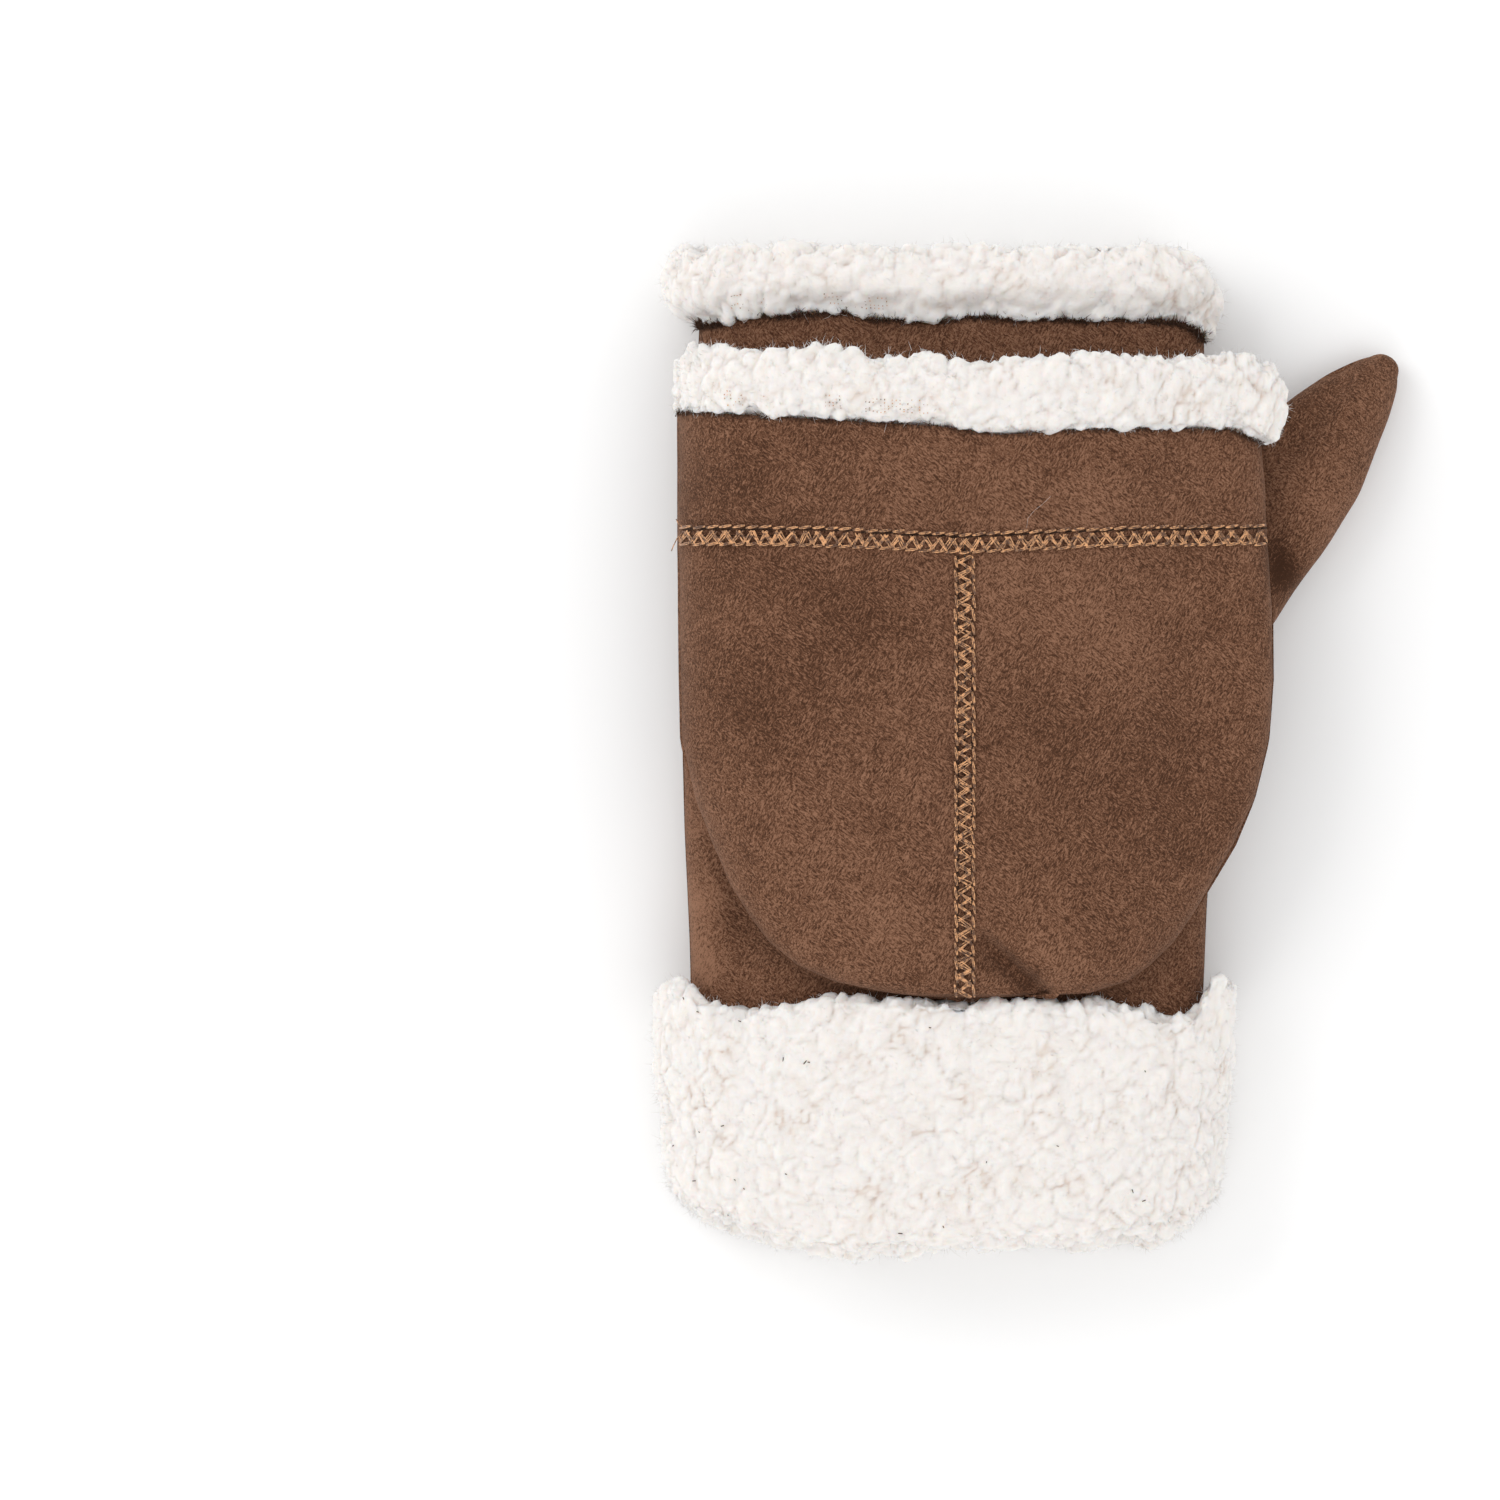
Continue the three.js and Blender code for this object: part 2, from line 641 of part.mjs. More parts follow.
function addPiece(name, geometry, colour, roughness) {
  geometry.computeVertexNormals();
  const material = new THREE.MeshStandardMaterial({ color: colours[colour], roughness, metalness: 0 });
  const mesh = new THREE.Mesh(geometry, material);
  mesh.name = name;
  mitten.add(mesh);
}

const thumbHole = solidOf(thumbCutter());
const backPanel = solidOf(handPanel(0, 1)).subtract(thumbHole);
const palmPanel = solidOf(handPanel(0.5, -1)).subtract(thumbHole);
const thumb = solidOf(thumbWall()).subtract(solidOf(handCore(-suedeWall)));

const upperColumns = hoodSides / 2;
const noGaps = { start: 0, end: 0 };

addPiece('body_back', geometryOf(backPanel), 'suede', 0.95);
addPiece('body_palm', geometryOf(palmPanel), 'suede', 0.95);
addPiece('thumb', geometryOf(thumb), 'suede', 0.95);
addPiece('hood_back', hoodPanel(0.5, 1, upperColumns, lowerPlaces, noGaps), 'suede', 0.95);
addPiece('hood_band', hoodPanel(0, 0.5, upperColumns, bandPlaces, noGaps), 'suede', 0.95);
addPiece(
  'hood_panel_right',
  hoodPanel(0, 0.25, upperColumns / 2, panelPlaces, { start: 0, end: pieceGap / 2 }),
  'suede',
  0.95,
);
addPiece(
  'hood_panel_left',
  hoodPanel(0.25, 0.5, upperColumns / 2, panelPlaces, { start: -pieceGap / 2, end: 0 }),
  'suede',
  0.95,
);
addPiece('finger_trim', fingerTrim(), 'pile', 1);
addPiece('hood_trim', hoodTrim(), 'pile', 1);
addPiece('cuff', pileRing(cuffProfile()), 'pile', 1);
addPiece('palm_patch', palmPatch(), 'patch', 0.55);

// The origin is under the middle of the whole mitten, on the surface that it lies on
const box = new THREE.Box3().setFromObject(mitten);
const centre = box.getCenter(new THREE.Vector3());
mitten.position.set(-centre.x, -centre.y, -box.min.z);

export default mitten;
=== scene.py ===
# %% [markdown]
# A flip-top winter mitten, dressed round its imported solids.
# The real thing is brown suede bonded to white curly pile. The suede side shows outside, and the pile shows
# wherever an edge is left open: round the fingers, along the hood's mouth and on the turned-up cuff.
# This lesson rebuilds each solid as a fine surface with the same few formulas, then adds what a solid
# can't hold: curls of pile, the flat seams' stitches, the frayed edges and the leather's grain.

# %% The tools of this lesson
import math

import bpy
import numpy as np
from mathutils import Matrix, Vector, noise


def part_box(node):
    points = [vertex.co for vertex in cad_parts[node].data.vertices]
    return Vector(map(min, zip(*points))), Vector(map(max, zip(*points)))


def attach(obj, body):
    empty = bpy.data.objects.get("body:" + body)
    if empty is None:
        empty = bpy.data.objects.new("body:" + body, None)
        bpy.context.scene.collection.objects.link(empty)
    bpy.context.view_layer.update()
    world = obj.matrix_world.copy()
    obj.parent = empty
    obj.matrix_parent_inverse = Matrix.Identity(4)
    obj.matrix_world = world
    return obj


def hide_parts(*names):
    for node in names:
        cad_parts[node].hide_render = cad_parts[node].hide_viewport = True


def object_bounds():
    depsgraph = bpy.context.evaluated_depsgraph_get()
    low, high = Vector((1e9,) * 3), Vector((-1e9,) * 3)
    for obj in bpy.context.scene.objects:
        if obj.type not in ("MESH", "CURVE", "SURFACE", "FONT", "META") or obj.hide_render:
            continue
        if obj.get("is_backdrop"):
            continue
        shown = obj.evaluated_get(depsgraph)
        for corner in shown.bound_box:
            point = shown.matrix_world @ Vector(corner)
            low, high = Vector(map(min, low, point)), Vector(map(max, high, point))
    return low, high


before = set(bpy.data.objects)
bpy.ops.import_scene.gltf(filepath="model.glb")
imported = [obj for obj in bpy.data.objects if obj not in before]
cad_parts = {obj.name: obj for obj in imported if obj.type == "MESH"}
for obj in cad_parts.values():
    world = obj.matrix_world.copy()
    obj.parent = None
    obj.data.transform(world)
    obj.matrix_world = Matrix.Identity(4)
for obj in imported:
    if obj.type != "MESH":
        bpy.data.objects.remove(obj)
cad_low, cad_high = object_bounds()
print("solids:", len(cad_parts), "box low", tuple(cad_low), "high", tuple(cad_high))

# %% [markdown]
# The formulas below count in millimetres, with the cuff's fold at the bottom of the length and the middle of
# the palm at zero across. The frame's own zero lies elsewhere, so one shift is read from two of its boxes.

# %% From millimetres on the mitten to the frame
MM = 0.001
PALM_LOW, PALM_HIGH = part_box("body_palm")
CUFF_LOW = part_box("cuff")[0]
SHIFT = np.array([(PALM_LOW.x + PALM_HIGH.x) / 2, CUFF_LOW.y, 0.0])


def to_frame(points):
    """Points in millimetres on the mitten, in the frame's metres."""
    return np.asarray(points, float) * MM + SHIFT


print("shift of the mitten's own zero, in metres:", SHIFT.round(4))

# %% [markdown]
# The camera looks straight down on a mitten that lies on its palm, as for a catalogue picture.
# A long lens from high up keeps the thick hood from looking larger than the flat cuff.

# %% Camera
PHOTO_PIXELS = 1500
PIXELS_PER_MM = 4.85
PHOTO_ZERO_X = 942
PHOTO_ZERO_Y = 1258
CAMERA_HEIGHT = 2.4
SUBJECT_HEIGHT = 0.02
SENSOR = 36.0
CAMERA_RANGE = 20.0

view_width = PHOTO_PIXELS / PIXELS_PER_MM
view_middle = to_frame(
    [(PHOTO_PIXELS / 2 - PHOTO_ZERO_X) / PIXELS_PER_MM, (PHOTO_ZERO_Y - PHOTO_PIXELS / 2) / PIXELS_PER_MM, 0]
)
camera_data = bpy.data.cameras.new("camera")
camera_data.sensor_width = SENSOR
camera_data.lens = SENSOR * (CAMERA_HEIGHT - SUBJECT_HEIGHT) / (view_width * MM)
camera_data.clip_end = CAMERA_RANGE
camera = bpy.data.objects.new("camera", camera_data)
camera.location = (view_middle[0], view_middle[1], CAMERA_HEIGHT)
bpy.context.scene.collection.objects.link(camera)
bpy.context.scene.camera = camera
bpy.context.scene.view_settings.view_transform = "Standard"
print("lens", round(camera_data.lens, 1), "mm, view", round(view_width, 1), "mm wide")

# %% [markdown]
# A finish is a material whose shader takes plain numbers on its own sockets and patterns from other nodes.
# The same few nodes come back in every finish here: smooth noise, a ramp of colours, a little arithmetic, a
# value that the mesh carries, and a bump. One small class makes and joins them.

# %% A finish and its nodes
NOISE_ROUGHNESS = 0.6


class Finish:
    """A material in the making: its nodes, its links and its shader."""

    def __init__(self, name, shader_values):
        self.made = bpy.data.materials.new(name)
        self.made.use_nodes = True
        self.nodes = self.made.node_tree.nodes
        self.links = self.made.node_tree.links
        self.shader = self.nodes["Principled BSDF"]
        for socket, value in shader_values.items():
            self.shader.inputs[socket].default_value = value

    def node(self, kind, inputs):
        """A new node, with each input set to a value or fed by another node's output."""
        node = self.nodes.new(kind)
        for socket, value in inputs.items():
            if isinstance(value, bpy.types.NodeSocket):
                self.links.new(value, node.inputs[socket])
            else:
                node.inputs[socket].default_value = value
        return node

    def place(self):
        """The shaded point in the object's own coordinates, for the textures."""
        return self.node("ShaderNodeTexCoord", {}).outputs["Object"]

    def attribute(self, name):
        """A value that the mesh carries at its points."""
        node = self.node("ShaderNodeAttribute", {})
        node.attribute_name = name
        return node.outputs["Fac"]

    def noise(self, place, scale, detail, distortion=0.0):
        """Smooth noise in lumps of about 1/scale metres."""
        inputs = {"Vector": place, "Scale": scale, "Detail": detail, "Distortion": distortion}
        node = self.node("ShaderNodeTexNoise", {**inputs, "Roughness": NOISE_ROUGHNESS})
        return node.outputs["Fac"]

    def maths(self, operation, first, second):
        node = self.node("ShaderNodeMath", {0: first, 1: second})
        node.operation = operation
        return node.outputs["Value"]

    def spread(self, level, pattern, weight):
        """A level moved up and down by a pattern that is 0.5 on average."""
        swing = self.maths("SUBTRACT", pattern, 0.5)
        return self.maths("ADD", level, self.maths("MULTIPLY", swing, weight))

    def ramp(self, factor, stops):
        """Colours by a factor, between stops of (place on the ramp, colour)."""
        node = self.node("ShaderNodeValToRGB", {"Fac": factor})
        elements = node.color_ramp.elements
        while len(elements) < len(stops):
            elements.new(0.5)
        for element, (place, colour) in zip(elements, stops):
            element.position = place
            element.color = colour
        return node.outputs["Color"]

    def colour(self, colours):
        self.links.new(colours, self.shader.inputs["Base Color"])

    def bump(self, height, strength, distance):
        """Bump on the shader; distance is the height of the pattern in metres."""
        node = self.node("ShaderNodeBump", {"Height": height, "Strength": strength, "Distance": distance})
        self.links.new(node.outputs["Normal"], self.shader.inputs["Normal"])


print("noise in every finish has a roughness of", NOISE_ROUGHNESS)

# %% [markdown]
# White pile on a white ground needs soft light that still comes from somewhere, or its curls vanish.
# One large lamp stands high on the left, weaker ones on the right and in front, and the sky fills the rest.

# %% Floor and light
FLOOR_SIZE = 6.0
FLOOR_LEVEL = -0.0002
FLOOR_SHADER = {"Base Color": (0.98, 0.98, 0.98, 1), "Roughness": 0.9}
LAMPS = [
    {"name": "key", "at": (-0.95, 0.6, 0.95), "size": 0.9, "power": 5.4},
    {"name": "fill", "at": (1.0, -0.3, 1.1), "size": 1.2, "power": 2.5},
    {"name": "front", "at": (-0.2, -1.2, 0.9), "size": 1.0, "power": 2.0},
]
SKY_STRENGTH = 0.88


def make_floor():
    mesh = bpy.data.meshes.new("floor")
    half = FLOOR_SIZE / 2
    corners = [(x, y, FLOOR_LEVEL) for x, y in ((-half, -half), (half, -half), (half, half), (-half, half))]
    mesh.from_pydata(corners, [], [(0, 1, 2, 3)])
    floor = bpy.data.objects.new("floor", mesh)
    bpy.context.scene.collection.objects.link(floor)
    mesh.materials.append(Finish("floor", FLOOR_SHADER).made)
    floor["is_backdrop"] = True
    return floor


def make_lamp(name, at, size, power):
    data = bpy.data.lights.new(name, "AREA")
    data.size = size
    data.energy = power
    lamp = bpy.data.objects.new(name, data)
    lamp.location = at
    lamp.rotation_euler = (-Vector(at)).to_track_quat("-Z", "Y").to_euler()
    bpy.context.scene.collection.objects.link(lamp)
    return lamp


make_floor()
for lamp in LAMPS:
    make_lamp(**lamp)
world = bpy.data.worlds.new("sky")
bpy.context.scene.world = world
world.use_nodes = True
world.node_tree.nodes["Background"].inputs["Color"].default_value = (1, 1, 1, 1)
world.node_tree.nodes["Background"].inputs["Strength"].default_value = SKY_STRENGTH
print("lamps:", [lamp["name"] for lamp in LAMPS])

# %% [markdown]
# Every surface of the mitten comes from two formulas, one for the hand and one for the hood. Each gives a
# point for a turn round the section, a place along it and an offset out from the suede. They start from the
# solids' own sizes, so a fine surface lies where its solid lies, give or take what short tables move.

# %% Sizes of the hand, in millimetres
SUEDE_WALL = 2.0
LINING_PILE = 3.6
PIECE_GAP = 0.3
DRAPE_GAP = 0.5
HAND_LENGTH = 186.9
HAND_WIDTH = 109.2
WRIST_WIDTH = 105.8
PALM_HEIGHT = 20.7
WRIST_HEIGHT = 20.4
FINGER_HEIGHT = 18.4
SEAM_LEVEL = 0.42
BACK_ROUNDNESS = 2.6
PALM_ROUNDNESS = 5.0
CUFF_LENGTH = 53.0
CUFF_PILE = 6.8
CUFF_FOLD = 6.2
CUFF_UNDER_PILE = 5.4
CUFF_INSIDE = 30.0
CUFF_EASE = 26.0
TRIM_REACH = 15.0
TRIM_PROUD = 3.1
TRIM_UNDER = 2.6
TRIM_DEPTH = 4.6
TRIM_TAIL = 17.0
FINGER_EASE = 15.0
PATCH_THICKNESS = 1.0
WRIST_EDGE = CUFF_FOLD + PIECE_GAP
FINGER_EDGE = WRIST_EDGE + HAND_LENGTH
THUMB_HEIGHT = 18.0
print("wrist edge", WRIST_EDGE, "finger edge", FINGER_EDGE)

# %% Tables of the hand
# edge, turn, reach, move (a share of the trim's reach)
EDGE_MOVES = [
    ("finger", 0.0, 0.055, -0.26),
    ("finger", 0.46, 0.06, -0.06),
    ("wrist", 0.0, 0.055, 0.66),
    ("wrist", 0.12, 0.06, 0.22),
    ("wrist", 0.5, 0.05, 0.5),
    ("wrist", 0.41, 0.04, 0.16),
]
# across, along, span across, span along, depth
HAND_FOLDS = [
    (-0.76, 0.33, 0.1, 0.12, 0.12),
    (0.84, 0.29, 0.08, 0.06, 0.06),
]
print("moves of the edges:", len(EDGE_MOVES), "folds:", len(HAND_FOLDS))

# %% Shares and the hand's section
def mix(start, end, share):
    """A value on the way from start to end."""
    return start + (end - start) * share


def smooth(value, start, end):
    """0 before start, 1 after end, and a soft step between them."""
    share = np.clip((value - start) / (end - start), 0, 1)
    return share * share * (3 - 2 * share)


def bell(distance, span):
    """1 at no distance, falling softly towards 0 over about a span."""
    return np.exp(-((distance / span) ** 2))


def round_share(across, roundness):
    """Height of a rounded section at a share of its half width; more roundness gives a boxier one."""
    return np.maximum(1 - np.abs(across) ** roundness, 0) ** (1 / roundness)


def hand_section(along):
    """Half width, side seam height, rise above it and drop below it."""
    past_cuff = smooth(along, CUFF_LENGTH, CUFF_LENGTH + CUFF_EASE)
    at_fingers = smooth(along, FINGER_EDGE - FINGER_EASE, FINGER_EDGE)
    palm_under = mix(CUFF_UNDER_PILE, PATCH_THICKNESS, past_cuff)
    under = mix(palm_under, TRIM_UNDER, at_fingers) + PIECE_GAP
    height = mix(mix(WRIST_HEIGHT, PALM_HEIGHT, past_cuff), FINGER_HEIGHT, at_fingers)
    widening = smooth(along, CUFF_LENGTH, CUFF_LENGTH + 2 * CUFF_EASE)
    half = mix(WRIST_WIDTH, HAND_WIDTH, widening) / 2
    return half, under + height * SEAM_LEVEL, height * (1 - SEAM_LEVEL), height * SEAM_LEVEL


print("section at half length:", [round(float(part), 1) for part in hand_section(100.0)])

# %% The hand's surface
def edge_move(turn, along):
    """How far the cut edges and the wrist fold move along the hand at each side."""
    move = np.zeros(np.broadcast(turn, along).shape)
    for edge, at, reach, amount in EDGE_MOVES:
        around = np.abs(turn % 1 - at)
        distance = np.minimum(around, 1 - around)
        if edge == "finger":
            nearness = smooth(along, FINGER_EDGE - 2 * FINGER_EASE, FINGER_EDGE)
        else:
            nearness = 1 - smooth(along, WRIST_EDGE, CUFF_LENGTH)
        move = move + amount * TRIM_REACH * bell(distance, reach) * nearness
    return move


def hand_point(turn, along, offset):
    """Points of the hand's surface: turn 0 is the thumb side, 0.25 the back, 0.75 the palm."""
    half, seam, rise, drop = hand_section(along)
    angle = 2 * np.pi * turn
    across = np.cos(angle)
    is_back = np.sin(angle) >= 0
    share = np.where(is_back, round_share(across, BACK_ROUNDNESS), round_share(across, PALM_ROUNDNESS))
    x = across * (half + offset)
    fold = np.zeros(np.broadcast(x, along).shape)
    for at_across, at_along, span_across, span_along, depth in HAND_FOLDS:
        sideways = bell(x / (HAND_WIDTH / 2) - at_across, span_across)
        lengthwise = bell((along - WRIST_EDGE) / HAND_LENGTH - at_along, span_along)
        fold = fold + depth * PALM_HEIGHT * sideways * lengthwise
    height = np.where(is_back, rise + offset, -(drop + offset)) * share - np.where(is_back, fold * share, 0)
    y = along + edge_move(turn, along)
    return np.stack(np.broadcast_arrays(x, y, seam + height), axis=-1)


print("middle of the back at half length:", hand_point(0.25, 100.0, 0.0).round(1))

# %% [markdown]
# The hood is a pocket that lies upside down on the back of the hand. Its underside follows the hand, and the
# thumb beside it, so the height that it is draped over comes first, and the pocket's own swell is added.

# %% Sizes and tables of the hood
HOOD_LENGTH = 118.5
HOOD_WIDTH = 122.6
HOOD_FROM_EDGE = 21.9
HOOD_SEAM_SHIFT = 4.4
HOOD_RISE = 11.0
HOOD_UNDER = 4.0
HOOD_LEFT_SHELF = 12.5
SHELF_REACH = 0.38 * HAND_WIDTH
HOOD_ROUNDNESS = 2.9
CROSS_SEAM = 23.5
HOOD_MOUTH = FINGER_EDGE - HOOD_FROM_EDGE
SEAM_SHARE = CROSS_SEAM / HOOD_LENGTH
# along, left, right, rise
HOOD_ROWS = np.array(
    [
        (0.0, 0.966, 1.01, 0.98),
        (0.1, 0.965, 1.02, 1.0),
        (0.2, 0.963, 1.024, 1.0),
        (0.32, 0.962, 1.042, 1.0),
        (0.44, 0.96, 1.044, 1.0),
        (0.55, 0.955, 1.028, 1.0),
        (0.65, 0.905, 0.98, 0.99),
        (0.73, 0.846, 0.918, 0.97),
        (0.795, 0.79, 0.842, 0.94),
        (0.852, 0.725, 0.773, 0.89),
        (0.9, 0.655, 0.706, 0.81),
        (0.94, 0.565, 0.63, 0.7),
        (0.97, 0.43, 0.55, 0.56),
        (0.99, 0.23, 0.42, 0.4),
        (1.0, 0.0, 0.0, 0.0),
    ]
)
# across, along, span across, span along, depth
HOOD_DENTS = [
    (0.13, 0.92, 0.11, 0.075, 0.12),
    (-0.15, 0.93, 0.14, 0.05, 0.12),
    (0.3, 0.66, 0.3, 0.06, 0.1),
    (-0.4, 0.3, 0.25, 0.12, 0.08),
    (0.36, 0.4, 0.26, 0.12, -0.07),
]
print("the hood's mouth lies at", round(HOOD_MOUTH, 1), "mm, its cross seam", CROSS_SEAM, "mm from there")

# %% The hood's surface
def back_height(across, along):
    half, seam, rise, _ = hand_section(along)
    return seam + rise * round_share(np.minimum(np.abs(across) / half, 1), BACK_ROUNDNESS)


def drape_height(across, along):
    back = back_height(across, along) + DRAPE_GAP
    shelf = mix(HOOD_LEFT_SHELF, THUMB_HEIGHT + DRAPE_GAP, smooth(across, 0, SHELF_REACH))
    softness = PIECE_GAP * 6
    return (back + shelf + np.sqrt((back - shelf) ** 2 + softness**2)) / 2


def hood_point(turn, share, offset, side=1):
    """Points of the hood: turn 0 is its thumb side, 0.25 the middle seam; side -1 is its underside."""
    clipped = np.clip(share, 0, 1)
    left, right, swell = (np.interp(clipped, HOOD_ROWS[:, 0], HOOD_ROWS[:, i]) for i in (1, 2, 3))
    across = np.cos(2 * np.pi * turn)
    height = round_share(across, HOOD_ROUNDNESS)
    reach = np.where(across > 0, right, left) * HOOD_WIDTH / 2
    sideways = across * np.maximum(reach + np.where(reach > 0, offset, 0), 0)
    x = HOOD_SEAM_SHIFT + sideways
    along = HOOD_MOUTH - share * (HOOD_LENGTH + offset)
    base = drape_height(x, along) + HOOD_UNDER * mix(0.4, 1, swell)
    dent = np.zeros(np.broadcast(x, along).shape)
    if side > 0:
        for at_across, at_along, span_across, span_along, depth in HOOD_DENTS:
            sideways_bell = bell(sideways / (HOOD_WIDTH / 2) - at_across, span_across)
            dent = dent + depth * HOOD_RISE * sideways_bell * bell(share - at_along, span_along)
    full = (HOOD_RISE if side > 0 else HOOD_UNDER) * swell
    outwards = np.maximum(full + offset, full / 4) * height - dent * height * swell + PIECE_GAP / 2
    return np.stack(np.broadcast_arrays(x, along, base + side * outwards), axis=-1)


print("top of the hood at its middle:", hood_point(0.25, 0.5, 0.0).round(1))

# %% [markdown]
# Cloth is never as even as a formula. Small waves in its cut edges and slow swells in its surface are added
# with smooth noise. The noise is read at fixed places, so each run gives the same mitten. The one kind that
# bends the curls' cells starts from a seed, which is set to a number for the same reason.

# %% Tables of the uneven edges
# across (share of half the hood), how far the mouth line moves (mm)
MOUTH_LINE = np.array(
    [(-1.0, 2.9), (-0.6, 1.3), (-0.1, -0.4), (0.12, -2.2),
     (0.3, -1.4), (0.65, -0.8), (0.88, -0.9), (1.0, -3.6)]
)
# across (share of half the hood), how far the cross seam moves (mm)
SEAM_SAG = np.array([(-1.0, 0.9), (-0.5, 0.5), (0.0, -1.0), (0.25, -0.2), (0.6, 0.6), (1.0, 1.0)])
EDGE_TUCK = 3.4
# along, how far the little-finger side and the thumb side lie to the right of the solid's, in mm
SIDE_LINES = np.array(
    [
        (0.0, 1.9, -0.6),
        (20.0, 1.9, -1.0),
        (28.0, 1.9, -1.0),
        (37.0, 0.6, 0.6),
        (48.0, 0.2, 0.6),
        (54.0, 0.9, 1.3),
        (64.0, 0.9, 1.7),
        (78.0, 0.9, 1.9),
        (96.0, 0.9, 0.0),
        (200.0, 0.9, 0.0),
    ]
)
# across, how far the cut edge at the fingers is lifted there in mm
EDGE_LINE = np.array(
    [(-50, 0.0), (-46, 0.8), (-42, 1.2), (-37, 1.1), (-32, 0.8), (-28, 1.1), (-20, 1.6), (-17.5, 1.1),
     (-14.5, 0.0), (-9, 0.0), (1, -0.3), (4.5, 0.5), (10, 0.5), (15, 0.0), (21, 0.3), (28, -0.2), (36, 0.3),
     (44, 0.0)], float
)
# across, how far the cuff's fold is lifted there in mm
FOLD_LINE = np.array(
    [(-62, 5.4), (-50, 5.2), (-44, 4.4), (-38, 3.0), (-31, 1.5), (-25, 0.4), (-18, -0.6), (-11, 0.5),
     (0, 1.9), (19, 2.0), (27, 0.9), (31, 0.5), (37, 2.2), (43, 1.2), (49, 2.4), (62, 2.0)], float
)
print("mouth line moves", MOUTH_LINE[:, 1].min(), "to", MOUTH_LINE[:, 1].max(), "mm")
print("cuff's fold moves", FOLD_LINE[:, 1].min(), "to", FOLD_LINE[:, 1].max(), "mm")

# %% Smooth noise and creases
# from x, y to x, y in mm, span on the soft side and on the sharp side, depth: pinched creases in the hood
HOOD_CREASES = [
    (9.5, 65.0, 20.2, 55.0, 3.2, 1.1, 3.4),
    (19.0, 66.0, 24.0, 60.0, 3.0, 3.0, -0.8),
    (-6.0, 60.0, 1.0, 57.0, 4.0, 3.0, 0.7),
    (12.0, 108.0, 56.0, 91.0, 6.0, 5.0, 0.9),
    (14.0, 118.0, 30.0, 142.0, 8.0, 8.0, -0.7),
    (-30.0, 143.0, -6.0, 128.0, 8.0, 6.0, 0.7),
]


def field(points, scale, seed=0.0):
    """Smooth noise between -1 and 1 at points in millimetres."""
    flat = np.asarray(points, float).reshape(-1, 3) / scale + seed
    values = np.array([noise.noise(Vector(p)) for p in flat])
    return values.reshape(np.asarray(points).shape[:-1])


def along_line(table, across):
    return np.interp(across, table[:, 0], table[:, 1])


def creased(points):
    """Lowers hood points along each crease: gently before its line, quickly past it."""
    for x1, y1, x2, y2, soft, sharp, depth in HOOD_CREASES:
        ahead = np.array([x2 - x1, y2 - y1])
        length = np.hypot(*ahead)
        ahead = ahead / length
        from_start = points[..., :2] - np.array([x1, y1])
        along = from_start @ ahead
        beside = from_start @ np.array([-ahead[1], ahead[0]])
        beyond = np.maximum(np.maximum(-along, along - length), 0)
        span = np.where(beside < 0, soft, sharp)
        points[..., 2] -= depth * bell(beside, span) * bell(beyond, soft)
    return points


print("creases are up to", max(crease[-1] for crease in HOOD_CREASES), "mm deep")

# %% The cloth of the hand and of the hood
SIDE_START = 0.3 * HAND_WIDTH
SIDE_END = 0.5 * HAND_WIDTH


def tucked(points):
    """Moves the hand's sides and its wrist fold a little off their formula, and tucks in the finger edge.

    Each move fades out along the hand over a few millimetres, so that no step shows."""
    is_left = smooth(-points[..., 0], SIDE_START, SIDE_END)
    is_right = smooth(points[..., 0], SIDE_START, SIDE_END)
    x, y = points[..., 0].copy(), points[..., 1].copy()
    short_of_roll = 1 - smooth(y, FINGER_EDGE, FINGER_EDGE + 3)
    at_edge = smooth(y, FINGER_EDGE - 1.6 * FINGER_EASE, FINGER_EDGE - 2) * short_of_roll
    left, right = (np.interp(y, SIDE_LINES[:, 0], SIDE_LINES[:, i]) for i in (1, 2))
    points[..., 0] += is_left * (left * short_of_roll + EDGE_TUCK * at_edge) + is_right * right
    points[..., 1] += along_line(FOLD_LINE, x) * (1 - smooth(y, 0, CUFF_LENGTH - 12))
    near_edge = smooth(y, FINGER_EDGE - 14, FINGER_EDGE) * (1 - smooth(y, FINGER_EDGE + 1, FINGER_EDGE + 12))
    points[..., 1] += along_line(EDGE_LINE, x) * near_edge
    return points


def hand_cloth(turn, along, offset):
    return tucked(hand_point(turn, along, offset))


def hood_cloth(turn, share, offset, side=1):
    """The hood's surface with its wavy mouth and its sagging cross seam."""
    points = hood_point(turn, share, offset, side)
    across = np.cos(2 * np.pi * turn) + 0 * share
    at_mouth = 1 - smooth(share, 0.0, 0.8 * SEAM_SHARE)
    at_seam = bell(share - SEAM_SHARE, 0.5 * SEAM_SHARE)
    points[..., 1] += along_line(MOUTH_LINE, across) * at_mouth + along_line(SEAM_SAG, across) * at_seam
    return points


print("little-finger side at half length:", hand_cloth(np.array([0.5]), np.array([100.0]), 0.0).round(1))

# %% [markdown]
# Cloth here is a sheet with two faces and a rim. A grid of points for the outside, one for the inside and
# four strips between them make a closed wall, and each of its three parts takes its own material.

# %% Normals and faces of a grid
def normals_of(grid, ring):
    """Unit normals of a grid of points, by its two directions; ring closes its first direction."""
    if ring:
        first = np.roll(grid, -1, axis=0) - np.roll(grid, 1, axis=0)
    else:
        first = np.gradient(grid, axis=0)
    second = np.gradient(grid, axis=1)
    normal = np.cross(first, second)
    length = np.linalg.norm(normal, axis=-1, keepdims=True)
    return normal / np.maximum(length, 1e-9)


